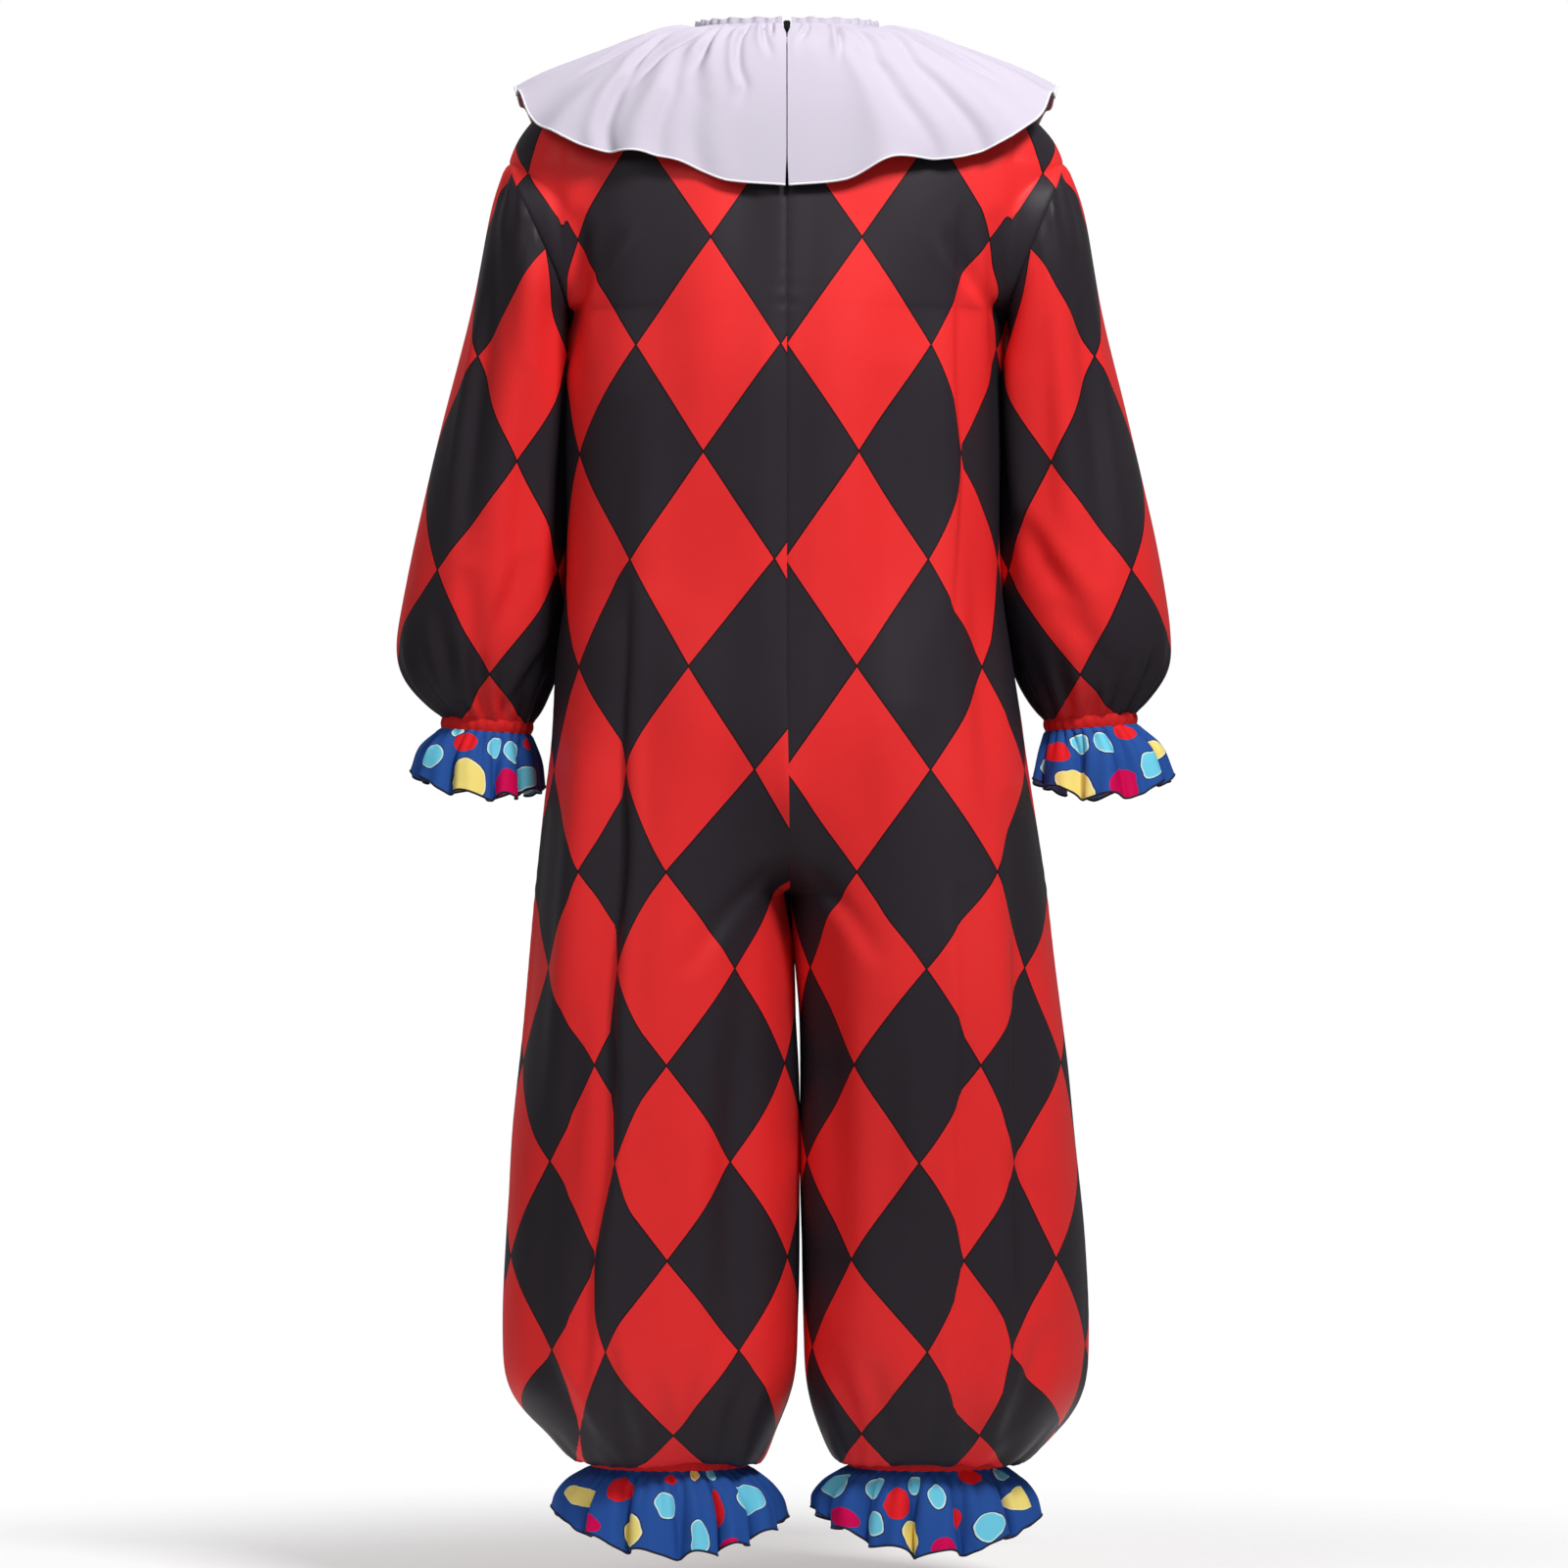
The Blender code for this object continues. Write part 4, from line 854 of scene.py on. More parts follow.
def collar_grid():
    """The collar: puffed over the neck seam, creased where it is gathered, fluted at its hem."""
    v = np.concatenate(([COLLAR_START], np.linspace(0.02, 1, COLLAR_ROWS)))
    across, down = np.meshgrid(collar_angles(COLLAR_AROUND), v)
    side, face, u = around(across)
    table_t = np.interp(np.abs(across), COLLAR[:, 0], np.arange(len(COLLAR)))
    reach, hem_stand = np.moveaxis(smooth(COLLAR[:, 1:], table_t), -1, 0)
    flute = sum(bell(across - angle, width) * height for angle, width, height in FLUTES)
    reach = reach + FLUTE_LIFT * flute
    top = BODY[0, 0]
    fine = np.linspace(0, ARMHOLE_BOTTOM, 400)
    t = np.interp(-(top + (reach - top) * down), -smooth(BODY, fine)[:, 0], fine)
    puff = COLLAR_PUFF * np.sin(np.pi * np.minimum(down / PUFF_LENGTH, 1) / 2)
    settle = np.clip((down - SETTLE_START) / (1 - SETTLE_START), 0, 1)
    stand = SEAM_GAP + puff * (1 - settle) + (hem_stand * settle + flute * settle**FLUTE_SWELL) * MM

    def bare(t, u):
        return body_surface(side, face, t, u, armholes=False)

    step = 0.01
    t_in = np.minimum(t, ARMHOLE_BOTTOM - step)
    u_in = np.clip(u, step, 1 - step)
    round_ = bare(t_in, u_in + step) - bare(t_in, u_in - step)
    fall = bare(t_in + step, u_in) - bare(np.maximum(t_in - step, 0), u_in)
    normal = (side * face)[..., None] * unit(np.cross(round_, fall))
    points = relax(bare(t, u) + normal * (CAD_CLOTH + stand)[..., None], 10)
    points = raised(points, False, 1, collar_creases(across, down) * ease(np.abs(across) / 3))
    split = np.where(v < COLLAR_SPLIT_ROW, NOTCH_HALF_WIDTH * (1 - v / COLLAR_SPLIT_ROW), 0)
    split = np.maximum(split, COLLAR_SPLIT + COLLAR_SPLIT_OPEN * ease((v - 0.8) / 0.2))
    fade = np.exp(-np.abs(across) / 2.5)
    for column, sign, here in ((0, 1, across >= 0), (-1, -1, across < 0)):
        shift = sign * split - points[:, column, 0]
        points[..., 0] += np.where(here, shift[:, None] * fade, 0)
    seam = body_surface(side[0], face[0], 0.0, u[0])
    points[0] = seam + unit(seam * np.array((1, 1, 0))) * COLLAR_TURN
    points[0, :, 2] += COLLAR_RISE
    return points, grid_normals(points, False, 1), weave_print(points, closed=False)


# Folds of the collar that start at its gathered edge: depth in millimetres, width in millimetres,
# side of the ridge, and (angle from the back, share of the way down) along each
COLLAR_FOLDS = (
    (5.5, 4.5, -1, ((34, 0.05), (31, 0.14), (27, 0.29), (24.5, 0.45))),
    (3.6, 3.4, 1, ((20, 0.03), (18.7, 0.14), (14, 0.31), (10.4, 0.42), (11, 0.6))),
    (3.2, 3.2, 1, ((11.5, 0.0), (8.3, 0.14), (3.6, 0.27))),
    (2.4, 2.6, -1, ((6.5, 0.0), (6.0, 0.12))),
    (2.6, 2.8, 1, ((-11, 0.0), (-7.6, 0.09), (-3.0, 0.17))),
    (3.4, 3.0, 1, ((-27, 0.0), (-20.8, 0.16), (-15.3, 0.32))),
    (2.4, 6.0, -1, ((-36, 0.0), (-27, 0.31), (-26.4, 0.54), (-29.8, 0.96))),
    (2.0, 5.5, -1, ((-50, 0.04), (-38.2, 0.34), (-38.8, 0.6), (-40.2, 0.95))),
    (4.2, 5.0, 1, ((39.5, 0.08), (40.9, 0.29), (39.5, 0.45), (36.8, 0.66))),
    (4.0, 5.5, 1, ((56, 0.1), (48, 0.3), (42, 0.5), (36.1, 1.0))),
    (3.0, 6.5, 1, ((35.5, 0.2), (27.1, 0.55), (25.7, 0.96))),
    (2.0, 8.0, -1, ((28, 0.3), (21, 0.55), (18, 0.95))),
    (3.6, 4.5, 1, ((66, 0.02), (62, 0.3), (60, 0.7))),
    (3.6, 4.5, -1, ((-62, 0.02), (-56, 0.3), (-57, 0.75))),
    (3.6, 4.5, -1, ((-78, 0.02), (-76, 0.3), (-80, 0.6))),
    (3.4, 4.5, 1, ((82, 0.02), (80, 0.3), (84, 0.6))),
)


def collar_creases(across, down):
    """Height of the folds that start at the gathered neck edge and die out down the collar."""
    draw = np.random.default_rng(5)
    total = np.zeros_like(across)
    at, last = NECK_FOLDS
    while at < last:
        length = draw.uniform(0.16, 0.5)
        wide = draw.uniform(1.6, 3.0)
        tall = draw.uniform(1.8, 3.8) * MM
        lean = draw.uniform(-9, 9)
        along = down / length
        swell = arch(along * 0.85 + 0.15) * ease(along / 0.12)
        calm = 0.35 if abs(at) < 92 else 1
        centre = at + lean * np.minimum(down, length)
        total += calm * tall * swell * bell(across - centre, wide * (1 + 1.2 * down))
        at += draw.uniform(5.5, 11.5)
    degree = (1.7 + 3.0 * down) * MM
    for deep, wide, ridge, line in COLLAR_FOLDS:
        places, shares = np.array(line).T
        first, last = shares[0], shares[-1]
        past = (across - np.interp(down, shares, places)) * degree
        part = np.clip((down - first + 0.03) / (last - first + 0.03), 0, 1)
        fade = ease(part / 0.12) * ease((1 - part) / 0.5) if last < 0.9 else ease(part / 0.2)
        spread = wide * MM * (0.7 + 0.8 * down)
        fold = 0.65 * bell(past - ridge * 2.0 * spread, 1.3 * spread) - bell(past, spread)
        total += 1.2 * deep * MM * fade * fold
    for angle, width, height in FLUTES:
        ridge = bell(across - angle - 2, 0.32 * width) * ease(down / 0.3)
        total += 0.16 * height * MM * ridge * (1 - 0.5 * down)
    return total


def neck_band_grid():
    """The narrow gathered edge that stands up inside the collar."""
    angles = collar_angles(NECK_AROUND)
    side, face, u = around(angles)
    base = body_surface(side, face, 0.0, u)
    away = unit(base * np.array((1, 1, 0)))
    share = np.linspace(-0.4, 1, 15)[:, None]
    rise = SEAM_GAP + (NECK_BAND_HEIGHT - SEAM_GAP) * share
    share = np.maximum(share, 0)
    points = base + rise[..., None] * (np.array((0, 0, 1)) - NECK_BAND_LEAN * away)
    pulses = np.radians(angles) * 46 + 0.9 * np.sin(np.radians(angles) * 7)
    ripple = np.sin(pulses) * ease((180 - np.abs(angles)) / 2) * ease(np.abs(angles) / 4)
    points = points + away * (NECK_RIPPLE * share**0.8 * ripple)[..., None]
    points[..., 2] += 0.8 * MM * share**2 * np.sin(pulses * 0.5 + 1)
    return points, grid_normals(points, False, -1), weave_print(points, closed=False)


# Meshes


def grid_quads(index):
    """The quads between neighbouring rows and columns of corner numbers."""
    return np.stack((index[:-1, :-1], index[:-1, 1:], index[1:, 1:], index[1:, :-1]), -1).reshape(-1, 4)


def group(name):
    """A collection of the scene, made when it is first asked for."""
    found = bpy.data.collections.get(name)
    if found is None:
        found = bpy.data.collections.new(name)
        bpy.context.scene.collection.children.link(found)
    return found


def place_piece(name, corners, faces, finishes, spots=None, slots=0, sharp=None):
    """A visible piece from its corners and faces, and each face's spots on the print."""
    data = bpy.data.meshes.new(name)
    data.from_pydata(np.reshape(corners, (-1, 3)).tolist(), [], faces)
    if spots is not None:
        layer = data.uv_layers.new(name="Print")
        layer.data.foreach_set("uv", spots.astype(np.float32).ravel())
    slots = np.broadcast_to(np.minimum(slots, len(finishes) - 1), len(faces))
    data.polygons.foreach_set("material_index", slots.astype(np.int32))
    data.shade_smooth()
    if sharp is not None:
        data.set_sharp_from_angle(angle=sharp)
    data.validate()
    for finish in finishes:
        data.materials.append(finish_of(finish))
    piece = bpy.data.objects.new(name, data)
    group("Jumpsuit cloth").objects.link(piece)
    return piece


def shell(name, points, normals, thickness, uv, outward, closed, finishes):
    """A thin closed wall on a grid: outer skin, inner skin and the edges between them."""
    total = points[..., 0].size
    corner = np.arange(total).reshape(points.shape[:2])
    corner = np.concatenate((corner, corner[:, :1]), axis=1) if closed else corner
    spot = np.arange(corner.size).reshape(corner.shape)
    parts = [(corner, spot, outward < 0, 0), (corner + total, spot, outward > 0, 1)]
    rims = [(np.s_[0], outward > 0), (np.s_[-1], outward < 0)]
    if not closed:
        rims += [(np.s_[:, 0], outward < 0), (np.s_[:, -1], outward > 0)]
    for edge, reverse in rims:
        both = np.stack((corner[edge], corner[edge] + total))
        parts.append((both, np.stack((spot[edge],) * 2), reverse, 0))
    faces, spots, slots = [], [], []
    for corners, places, reverse, slot in parts:
        step = -1 if reverse else 1
        faces.append(grid_quads(corners)[:, ::step])
        spots.append(grid_quads(places)[:, ::step])
        slots.append(np.full(len(faces[-1]), slot))
    return place_piece(
        name, (points, points - normals * thickness), np.concatenate(faces).tolist(), finishes,
        uv.reshape(-1, 2)[np.concatenate(spots)], np.concatenate(slots), SHARP_ANGLE,
    )


def tube_faces(rings, closed, start=0):
    """Faces of a tube, from rings of its corners. A tube whose ends don't meet is capped."""
    index = start + np.arange(rings[..., 0].size).reshape(rings.shape[:2])
    rows = np.concatenate((index, index[:1])) if closed else index
    faces = grid_quads(np.concatenate((rows, rows[:, :1]), axis=1)).tolist()
    return faces if closed else faces + [index[0, ::-1].tolist(), index[-1].tolist()]


def rolled_edge(name, line, outward, radius, closed, finish):
    """A thin overlocked edge: a round cord of thread along a hem."""
    if closed:
        along = unit(np.roll(line, -1, 0) - np.roll(line, 1, 0))
    else:
        along = unit(np.gradient(line, axis=0))
    first = unit(outward - along * (outward * along).sum(-1, keepdims=True))
    second = np.cross(along, first)
    turn = turns(EDGE_SIDES)
    ring = first[:, None] * np.cos(turn)[:, None] + second[:, None] * np.sin(turn)[:, None]
    points = line[:, None] + ring * radius
    faces = tube_faces(points, closed)
    corner = np.concatenate(faces)
    spots = np.stack((arc_lengths(line, 0)[corner // EDGE_SIDES], radius * turn[corner % EDGE_SIDES]), 1)
    return place_piece(name, points, faces, [finish], spots)


def zip_coil():
    """The closed coil inside the back: links that cross the gap between the tapes."""
    low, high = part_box("zip_tape_left")
    top = high[2] - COIL_START
    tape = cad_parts["zip_tape_left"].data
    corners = np.empty(3 * len(tape.vertices))
    tape.vertices.foreach_get("co", corners)
    corners = corners.reshape(-1, 3)
    levels = np.unique(corners[:, 2].round(5))
    inner = [corners[np.abs(corners[:, 2] - z) < 1e-4, 1].min() for z in levels]
    heights = top - COIL_PITCH * np.arange(int((top - low[2] - COIL_END) / COIL_PITCH))
    turn = turns(COIL_SIDES)
    x, reach, size = (values[:, None] * MM for values in COIL_LINK.T)
    lift = np.where(np.arange(len(COIL_LINK)) % 2, 1, -1)[:, None] * COIL_PITCH / 4
    points, faces = [], []
    for z, y in zip(heights, np.interp(heights, levels, inner)):
        sides = (x, y - reach + size * np.cos(turn), z + lift + size * np.sin(turn))
        link = np.stack(np.broadcast_arrays(*sides), -1)
        faces += tube_faces(link, False, start=len(points) * link[..., 0].size)
        points.append(link)
    return place_piece("zip_coil", points, faces, ["Zip coil"])


# Finishes


def linear(colour):
    """A colour given as it looks on a screen, 0 to 255, as shaders count it."""
    shares = [c / 255 for c in colour]
    return tuple(c / 12.92 if c <= 0.04045 else ((c + 0.055) / 1.055) ** 2.4 for c in shares)


def colour_of(setting):
    """One of the scene's colours, by the name of its setting."""
    return tuple(getattr(bpy.context.scene.jumpsuit_colours, setting))


class Finish:
    """A material's node tree, with short ways to add and join its nodes."""

    def __init__(self, name, roughness, specular=0.5, metallic=0.0, printed=True):
        self.material = bpy.data.materials.new(name)
        self.material.use_nodes = True
        self.tree = self.material.node_tree
        self.shader = self.tree.nodes["Principled BSDF"]
        self.join(self.shader, {"Roughness": roughness, "Specular IOR Level": specular, "Metallic": metallic})
        if printed:
            self.place = self.node("UVMap", uv_map="Print").outputs["UV"]
            split = self.node("SeparateXYZ", {0: self.place})
            self.s, self.v = split.outputs["X"], split.outputs["Y"]
        else:
            self.place = self.node("TexCoord").outputs["Object"]

    def join(self, node, sources):
        """Gives a node's inputs their values, colours or links."""
        for key, source in sources.items():
            target = node.inputs[key]
            if isinstance(source, bpy.types.NodeSocket):
                self.tree.links.new(source, target)
            elif isinstance(source, tuple) and len(source) < len(target.default_value):
                target.default_value = (*source, 1)
            else:
                target.default_value = source

    def node(self, kind, sources=None, **settings):
        node = self.tree.nodes.new("ShaderNode" + kind)
        for key, value in settings.items():
            setattr(node, key, value)
        self.join(node, sources or {})
        return node

    def sum(self, operation, *values):
        return self.node("Math", dict(enumerate(values)), operation=operation).outputs[0]

    def mix(self, share, first, second):
        return self.node("Mix", {"Factor": share, 6: first, 7: second}, data_type="RGBA").outputs[2]

    def vector(self, operation, *values):
        node = self.node("VectorMath", dict(enumerate(values)), operation=operation)
        return node.outputs["Value" if operation == "LENGTH" else "Vector"]

    def scaled(self, colour, share):
        return self.node("VectorMath", {0: colour, "Scale": share}, operation="SCALE").outputs[0]

    def noise(self, scale, detail, output="Fac"):
        sources = {"Scale": scale, "Detail": detail, "Vector": self.place}
        return self.node("TexNoise", sources).outputs[output]

    def ramp(self, share, low, high):
        node = self.node("ValToRGB", {"Fac": share})
        for element, colour in zip(node.color_ramp.elements, (low, high)):
            element.color = (*colour, 1)
        return node.outputs["Color"]

    def bump(self, height, strength, distance):
        node = self.node("Bump", {"Strength": strength, "Distance": distance, "Height": height})
        self.join(self.shader, {"Normal": node.outputs[0]})

    def woven(self, colour, thread, strength, amount):
        """Cloth a little lighter and darker from place to place, with a fine twill of threads."""
        pitch = 2 * math.pi / thread
        lift = self.sum("MULTIPLY_ADD", self.noise(9.0, 3.0), 2 * amount, 1 - amount)
        warp = self.sum("SINE", self.sum("MULTIPLY", self.sum("ADD", self.s, self.v), pitch))
        weft = self.sum("SINE", self.sum("MULTIPLY", self.sum("SUBTRACT", self.s, self.v), pitch))
        threads = self.sum("ADD", self.sum("MULTIPLY", warp, weft), self.noise(900.0, 2.0))
        self.bump(threads, strength, 0.15 * MM)
        return self.finish(self.scaled(colour, lift))

    def finish(self, colour):
        self.join(self.shader, {"Base Color": colour})
        return self.material


def harlequin(name, fade):
    """Satin printed with red and black diamonds, each with a thin dark line round it."""
    sizes = bpy.context.scene.jumpsuit_sizes
    wide, tall = sizes.diamond_width, sizes.diamond_height
    finish = Finish(name, 0.46, specular=0.16)
    a = finish.sum("DIVIDE", finish.s, wide)
    b = finish.sum("DIVIDE", finish.v, tall)
    near, count = [], []
    for operation in ("ADD", "SUBTRACT"):
        value = finish.sum("ADD", finish.sum(operation, a, b), 0.5)
        past = finish.sum("SUBTRACT", value, finish.sum("ROUND", value))
        near.append(finish.sum("ABSOLUTE", past))
        count.append(finish.sum("FLOOR", value))
    is_red = finish.sum("FLOORED_MODULO", finish.sum("ADD", *count), 2.0)
    line = sizes.print_line / 2 / (wide * tall / math.hypot(wide, tall))
    on_line = finish.sum("LESS_THAN", finish.sum("MINIMUM", *near), line)
    printed = finish.mix(is_red, colour_of("black"), colour_of("red"))
    printed = finish.mix(on_line, printed, colour_of("line"))
    if fade:
        printed = finish.mix(fade, printed, linear(FADED_SATIN))
    return finish.woven(printed, THREAD, 0.12, 0.05)


# Dots of the ruffles' print, in millimetres: place along and down the strip, half width, half height
DOTS = {
    "yellow": ((85, 49, 19, 19.3), (279, 33, 13.2, 10.3), (375, 59, 19.2, 17.9),
        (557, 38, 23.5, 11.3), (638, 58, 14.5, 12.7), (711, 5, 6.9, 6.6), (960, 41, 22.3, 13.2),
        (1089, 59, 12.8, 13.2),),
    "crimson": ((133, 56, 15, 18.3), (330, 60, 13.9, 17.9), (586, 62, 15, 9.4),
        (742, 76, 10.1, 7.5), (1056, 69, 9.6, 9.4), (1161, 58, 15.4, 12.2),),
    "cyan": ((39, 36, 14, 14.1), (57, 4, 8.4, 6.1), (114, 15, 10.5, 9.4), (141, 20, 12.1, 11.3),
        (163, 49, 14, 12.7), (300, 46, 13.4, 13.2), (341, 17, 10.5, 10.3), (367, 16, 10.7, 10.3),
        (421, 46, 11.3, 11.3), (671, 34, 10.8, 12.7), (704, 64, 7.3, 15), (740, 5, 8.9, 7.5),
        (783, 36, 23.2, 16), (967, 9, 13.4, 8.5), (1012, 58, 13.4, 12.2), (1061, 27, 9.5, 11.3),
        (1087, 16, 8.5, 9.4), (1124, 52, 9.3, 10.3), (1135, 20, 9.7, 11.3), (1196, 27, 26.3, 16),),
    "dot_red": ((75, 15, 16.3, 8.9), (175, 12, 9.4, 8.5), (313, 9, 12.4, 7.5), (397, 26, 16.1, 10.3),
        (615, 22, 15.5, 13.2), (679, 8, 6.6, 5.6), (733, 38, 9.1, 15.5), (1019, 6, 13, 9.4),
        (1040, 45, 7.9, 8.5), (1105, 33, 11.6, 13.2),),
}


def dotted(name, fade):
    """Blue cloth printed with dots. Yellow and cyan dots have a pale ring in a thin dark line."""
    finish = Finish(name, 0.6, specular=0.05)
    wobble = finish.noise(38.0, 2.0, "Color")
    push = finish.vector("MULTIPLY_ADD", wobble, (DOT_WOBBLE, DOT_WOBBLE, 0), finish.place)
    colour = colour_of("blue")
    for kind, spots in DOTS.items():
        nearest = None
        for along, down, half_wide, half_tall in spots:
            squash = (1 / (half_wide * MM), 1 / (half_tall * MM), 0)
            middle = (along * MM + DOT_WOBBLE / 2, down * MM + DOT_WOBBLE / 2)
            start = (-middle[0] * squash[0], -middle[1] * squash[1], 0)
            away = finish.vector("LENGTH", finish.vector("MULTIPLY_ADD", push, squash, start))
            half = (half_wide + half_tall) / 2 * MM
            away = finish.sum("MULTIPLY_ADD", away, half, -half)
            nearest = away if nearest is None else finish.sum("MINIMUM", nearest, away)
        dot = colour_of(kind)
        layers = [(0.0, dot)]
        if kind in ("yellow", "cyan"):
            pale = tuple(0.45 * c + 0.55 * p for c, p in zip(dot, PALE_RING))
            layers = [(RING_LINE, colour_of("navy")), (0.0, pale), (-PALE_RING_WIDTH, dot)]
        for edge, shade in layers:
            colour = finish.mix(finish.sum("LESS_THAN", nearest, edge), colour, shade)
    if fade:
        colour = finish.mix(fade, colour, linear(FADED_DOTTED))
    return finish.woven(colour, THREAD, 0.12, 0.06)


def plain_cloth(name, colour, roughness, thread, amount):
    """Cloth of one colour."""
    return Finish(name, roughness, specular=0.04).woven(colour, thread, 0.15, amount)


def thread_finish(name, colour):
    """Overlocked thread: slanting stitches along the edge, with painted shade in the grooves between them."""
    finish = Finish(name, 0.6, specular=0.3)
    slant = finish.sum("ADD", finish.s, finish.sum("MULTIPLY", finish.v, STITCH_SLANT))
    wave = finish.sum("SINE", finish.sum("MULTIPLY", slant, 2 * math.pi / STITCH_PITCH))
    finish.bump(wave, 0.5, 0.3 * MM)
    # The colour follows the stitches' bump, from 0.76 in the grooves to 1 on the ridges: painted shade.
    return finish.finish(finish.scaled(colour, finish.sum("MULTIPLY_ADD", wave, 0.12, 0.88)))


def zip_finish(name, colour, roughness, metallic, scale):
    """Lacquered metal or woven tape, marked by its place in space."""
    finish = Finish(name, roughness, metallic=metallic, printed=False)
    grain = finish.noise(scale, 4)
    ends = {"Value": grain, "To Min": roughness - 0.06, "To Max": roughness + 0.08}
    finish.join(finish.shader, {"Roughness": finish.node("MapRange", ends).outputs["Result"]})
    finish.bump(grain, 0.25, 0.1 * MM)
    shares = linear(colour)
    return finish.finish(
        finish.ramp(grain, [c * 0.75 for c in shares], [min(c * 1.4 + 0.004, 1) for c in shares])
    )


def paper_finish(name):
    """Matt white paper with a barely seen grain, thinning out to nothing at the rim of the floor."""
    finish = Finish(name, 0.95, specular=0.1, printed=False)
    sources = {
        "Value": finish.vector("LENGTH", finish.place), "From Min": 0.4 * FLOOR_RADIUS,
        "From Max": 0.98 * FLOOR_RADIUS, "To Min": 1, "To Max": 0,
    }
    thin = finish.node("MapRange", sources, interpolation_type="SMOOTHSTEP")
    finish.join(finish.shader, {"Alpha": thin.outputs["Result"]})
    return finish.finish(finish.ramp(finish.noise(40, 2), (0.92,) * 3, (0.95,) * 3))


FINISHES = {
    "Harlequin satin": lambda name: harlequin(name, 0),
    "Harlequin satin reverse": lambda name: harlequin(name, 0.25),
    "Dotted cloth": lambda name: dotted(name, 0),
    "Dotted cloth reverse": lambda name: dotted(name, 0.3),
    "Collar cloth": lambda name: plain_cloth(name, colour_of("white"), 0.6, COLLAR_THREAD, 0.015),
    # The channels are cut from the diamonds' red cloth, darkened to 0.8 of it: painted shade of their
    # gathers.
    "Red channel cloth": lambda name: plain_cloth(
        name, tuple(0.8 * share for share in colour_of("red")), 0.55, THREAD, 0.04
    ),
    "White overlock thread": lambda name: thread_finish(name, linear((250, 250, 252))),
    "Navy overlock thread": lambda name: thread_finish(name, colour_of("navy")),
    "Zip tape": lambda name: zip_finish(name, (34, 33, 36), 0.75, 0, 1800),
    "Zip metal": lambda name: zip_finish(name, (26, 26, 28), 0.32, 1.0, 260),
    "Zip coil": lambda name: zip_finish(name, (30, 30, 33), 0.45, 0, 700),
    "Floor paper": paper_finish,
}


@functools.cache
def finish_of(name):
    """Makes each finish once, the first time a piece asks for it."""
    return FINISHES[name](name)


# Settings


class JumpsuitSizes(bpy.types.PropertyGroup):
    diamond_width: bpy.props.FloatProperty(
        name="Diamond width", description="Width of one printed diamond", default=2 * HALF_WIDTH,
        min=0.02, unit="LENGTH",
    )
    diamond_height: bpy.props.FloatProperty(
        name="Diamond height", description="Height of one printed diamond", default=2 * HALF_HEIGHT,
        min=0.02, unit="LENGTH",
    )
    print_line: bpy.props.FloatProperty(
        name="Print line", description="Width of the dark line between diamonds", default=1.4 * MM,
        min=0, unit="LENGTH",
    )
    fold_strength: bpy.props.FloatProperty(
        name="Fold strength", description="Share of the hanging folds' full depth", default=1.0,
        min=0, max=1.2, subtype="FACTOR",
    )
    seam_roll: bpy.props.FloatProperty(
        name="Seam roll", description="How far the cloth turns in at its seams", default=1.7 * MM,
        min=0, max=3 * MM, unit="LENGTH",
    )
    cloth_thickness: bpy.props.FloatProperty(
        name="Cloth thickness", description="Thickness of every piece of cloth", default=0.8 * MM,
        min=0.2 * MM, max=1.5 * MM, unit="LENGTH",
    )
    edge_radius: bpy.props.FloatProperty(
        name="Overlock radius", description="Half the thickness of the overlocked hems", default=1.1 * MM,
        min=0.3 * MM, max=3 * MM, unit="LENGTH",
    )


def colour_setting(name, description, colour):
    return bpy.props.FloatVectorProperty(
        name=name, description=description, default=linear(colour), min=0, max=1, subtype="COLOR",
    )


class JumpsuitColours(bpy.types.PropertyGroup):
    red: colour_setting("Red", "Red diamonds and the elastic channels", (230, 44, 45))
    black: colour_setting("Black", "Black diamonds", (42, 37, 43))
    line: colour_setting("Line", "Line between diamonds", (24, 15, 19))
    white: colour_setting("Collar white", "Collar and neck band", (192, 185, 199))
    blue: colour_setting("Blue", "Ground of the ruffles", (41, 82, 156))
    navy: colour_setting("Navy", "Ruffle hems and rings of the dots", (24, 28, 52))
    yellow: colour_setting("Yellow dots", "Yellow dots of the ruffles", (247, 226, 128))
    cyan: colour_setting("Cyan dots", "Cyan dots of the ruffles", (112, 206, 232))
    crimson: colour_setting("Crimson dots", "Crimson dots of the ruffles", (208, 10, 84))
    dot_red: colour_setting("Red dots", "Red dots of the ruffles", (228, 34, 42))


# Making the pieces


def trim(piece):
    """Says that a piece rides on the suit."""
    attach(piece, SUIT)


def dress(node, cut, shape, outward, closed, hem=None):
    """Makes a node's cloth, with a hem if it has one, and hides the node's own solid."""
    width, length, area, held, slot, finishes = CUTS[cut]
    points, normals, uv = shape
    sizes = bpy.context.scene.jumpsuit_sizes
    thickness = sizes.cloth_thickness
    piece = shell(f"{node}_cloth", points, normals, thickness, uv, outward, closed, finishes)
    if hem:
        name, finish = hem
        line = points[-1] - normals[-1] * thickness / 2
        trim(rolled_edge(name, line, normals[-1], sizes.edge_radius, closed, finish))
    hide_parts(node)
    trim(piece)


class JUMPSUIT_OT_body(bpy.types.Operator):
    """Makes the four long body panels, each from shoulder to ankle"""

    bl_idname = "jumpsuit.body"
    bl_label = "Body panels"

    def execute(self, context):
        panel.cache_clear()
        for side, side_name in SIDES:
            for face, face_name in FACES:
                shape = (*panel(side, face)[:2], panel_print(side, face))
                dress(f"{face_name}_{side_name}", "body", shape, side * face, False)
        return {"FINISHED"}


class JUMPSUIT_OT_sleeves(bpy.types.Operator):
    """Makes both sleeves, gathered into the armholes and into the wrist channels"""

    bl_idname = "jumpsuit.sleeves"
    bl_label = "Sleeves"

    def execute(self, context):
        for side, side_name in SIDES:
            dress(f"sleeve_{side_name}", "sleeve", sleeve_grid(side), -side, True)
        return {"FINISHED"}


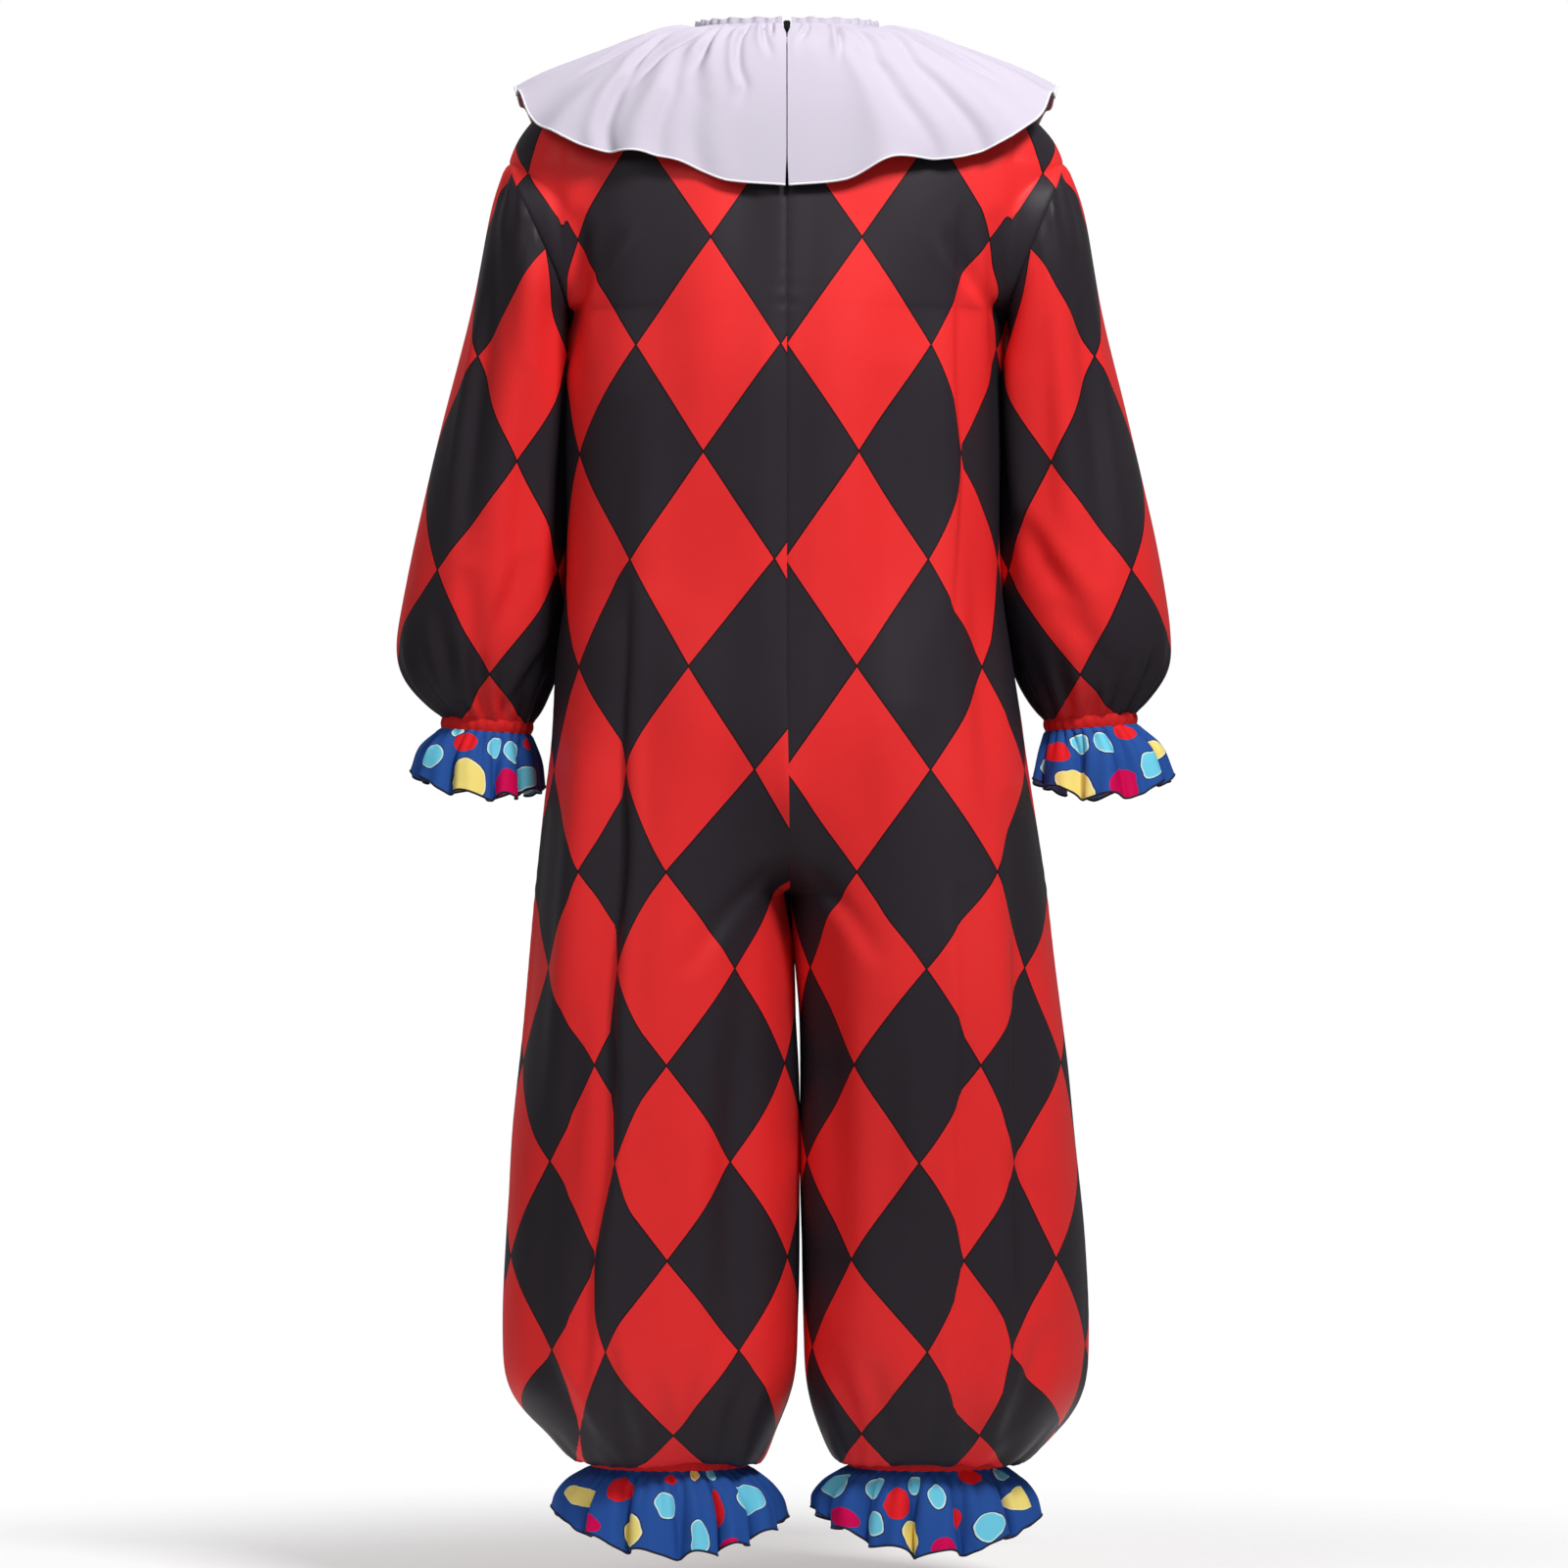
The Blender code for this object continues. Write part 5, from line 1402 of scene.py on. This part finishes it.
class JUMPSUIT_OT_channels(bpy.types.Operator):
    """Makes the red bands that hold the elastic at wrists and ankles"""

    bl_idname = "jumpsuit.channels"
    bl_label = "Elastic channels"

    def execute(self, context):
        for side, side_name in SIDES:
            for place in CHANNELS:
                node = f"{place}_channel_{side_name}"
                dress(node, f"{place}_channel", channel_grid(side, place), -side, True)
        return {"FINISHED"}


class JUMPSUIT_OT_ruffles(bpy.types.Operator):
    """Makes the dotted ruffles below the wrist and ankle channels, with overlocked hems"""

    bl_idname = "jumpsuit.ruffles"
    bl_label = "Ruffles"

    def execute(self, context):
        for side, side_name in SIDES:
            for place in RUFFLES:
                hem = (f"{place}_hem_{side_name}", "Navy overlock thread")
                node = f"{place}_ruffle_{side_name}"
                dress(node, f"{place}_ruffle", ruffle_grid(side, place), -side, True, hem)
        return {"FINISHED"}


class JUMPSUIT_OT_collar(bpy.types.Operator):
    """Makes the gathered collar with its overlocked hem, and the band inside the neck"""

    bl_idname = "jumpsuit.collar"
    bl_label = "Collar"

    def execute(self, context):
        dress("collar", "collar", collar_grid(), 1, False, ("collar_hem", "White overlock thread"))
        dress("neck_band", "neck_band", neck_band_grid(), -1, False)
        return {"FINISHED"}


class JUMPSUIT_OT_zip(bpy.types.Operator):
    """Finishes the zip's tapes, slider and pull tab and lays its closed coil between the tapes"""

    bl_idname = "jumpsuit.zip"
    bl_label = "Zip"

    def execute(self, context):
        for name, finish in ZIP_FINISHES.items():
            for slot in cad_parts[name].material_slots:
                slot.material = finish_of(finish)
        trim(zip_coil())
        return {"FINISHED"}


class JUMPSUIT_OT_studio(bpy.types.Operator):
    """Sets the pale studio: floor, soft lights and the camera behind the garment"""

    bl_idname = "jumpsuit.studio"
    bl_label = "Studio"

    def execute(self, context):
        scene = context.scene
        pale_floor()
        scene.world = scene.world or bpy.data.worlds.new("Studio")
        white_round(scene.world)
        for name, place, size, watts, aim, in_gloss in LIGHTS:
            light = bpy.data.lights.new(name, "AREA")
            light.shape = "RECTANGLE"
            light.size = light.size_y = size
            light.energy = watts
            lamp = bpy.data.objects.new(name, light)
            lamp.location = place
            lamp.visible_glossy = in_gloss
            towards = mathutils.Vector(aim) - lamp.location
            lamp.rotation_euler = towards.to_track_quat("-Z", "Y").to_euler()
            group("Studio").objects.link(lamp)
        camera = bpy.data.cameras.new("Camera")
        camera.lens = CAMERA_LENS
        camera.sensor_width = 36
        camera.clip_end = 40
        view = bpy.data.objects.new("Camera", camera)
        view.location = CAMERA_PLACE
        view.rotation_euler = (math.pi / 2, 0, math.pi)
        group("Studio").objects.link(view)
        scene.camera = view
        scene.view_settings.view_transform = "Standard"
        return {"FINISHED"}


def pale_floor():
    """A round floor under the garment, which fades out into the white round it."""
    sheet = bmesh.new()
    bmesh.ops.create_circle(sheet, cap_ends=True, segments=96, radius=FLOOR_RADIUS)
    data = bpy.data.meshes.new("pale_floor")
    sheet.to_mesh(data)
    sheet.free()
    data.materials.append(finish_of("Floor paper"))
    floor = bpy.data.objects.new("pale_floor", data)
    floor.location.z = FLOOR_HEIGHT
    group("Studio").objects.link(floor)
    return floor


def white_round(world):
    """Pale light from all round, and plain white where nothing stands."""
    world.use_nodes = True
    nodes, links = world.node_tree.nodes, world.node_tree.links
    soft = nodes["Background"]
    white = nodes.new("ShaderNodeBackground")
    for background, strength in ((soft, SOFT_LIGHT), (white, 1)):
        background.inputs["Color"].default_value = (1, 1, 1, 1)
        background.inputs["Strength"].default_value = strength
    seen = nodes.new("ShaderNodeLightPath")
    choice = nodes.new("ShaderNodeMixShader")
    links.new(seen.outputs["Is Camera Ray"], choice.inputs[0])
    links.new(soft.outputs[0], choice.inputs[1])
    links.new(white.outputs[0], choice.inputs[2])
    links.new(choice.outputs[0], nodes["World Output"].inputs["Surface"])


class JUMPSUIT_PT_panel(bpy.types.Panel):
    """Lists the jumpsuit's settings and the pieces it can make"""

    bl_idname = "JUMPSUIT_PT_panel"
    bl_label = "Clown jumpsuit"
    bl_space_type = "VIEW_3D"
    bl_region_type = "UI"
    bl_category = "Jumpsuit"

    def draw(self, context):
        layout = self.layout
        for settings in (context.scene.jumpsuit_sizes, context.scene.jumpsuit_colours):
            box = layout.box()
            for name in settings.bl_rna.properties.keys():
                if name not in ("rna_type", "name"):
                    box.prop(settings, name)
        for maker in MAKERS:
            layout.operator(maker.bl_idname)


MAKERS = (
    JUMPSUIT_OT_body, JUMPSUIT_OT_sleeves, JUMPSUIT_OT_channels, JUMPSUIT_OT_ruffles,
    JUMPSUIT_OT_collar, JUMPSUIT_OT_zip, JUMPSUIT_OT_studio,
)
CLASSES = (JumpsuitSizes, JumpsuitColours, *MAKERS, JUMPSUIT_PT_panel)


def register():
    for each in CLASSES:
        bpy.utils.register_class(each)
    bpy.types.Scene.jumpsuit_sizes = bpy.props.PointerProperty(type=JumpsuitSizes)
    bpy.types.Scene.jumpsuit_colours = bpy.props.PointerProperty(type=JumpsuitColours)


def unregister():
    del bpy.types.Scene.jumpsuit_colours
    del bpy.types.Scene.jumpsuit_sizes
    for each in reversed(CLASSES):
        bpy.utils.unregister_class(each)


def main():
    register()
    bpy.ops.jumpsuit.body()
    bpy.ops.jumpsuit.sleeves()
    bpy.ops.jumpsuit.channels()
    bpy.ops.jumpsuit.ruffles()
    bpy.ops.jumpsuit.collar()
    bpy.ops.jumpsuit.zip()
    bpy.ops.jumpsuit.studio()


if __name__ == "__main__":
    main()
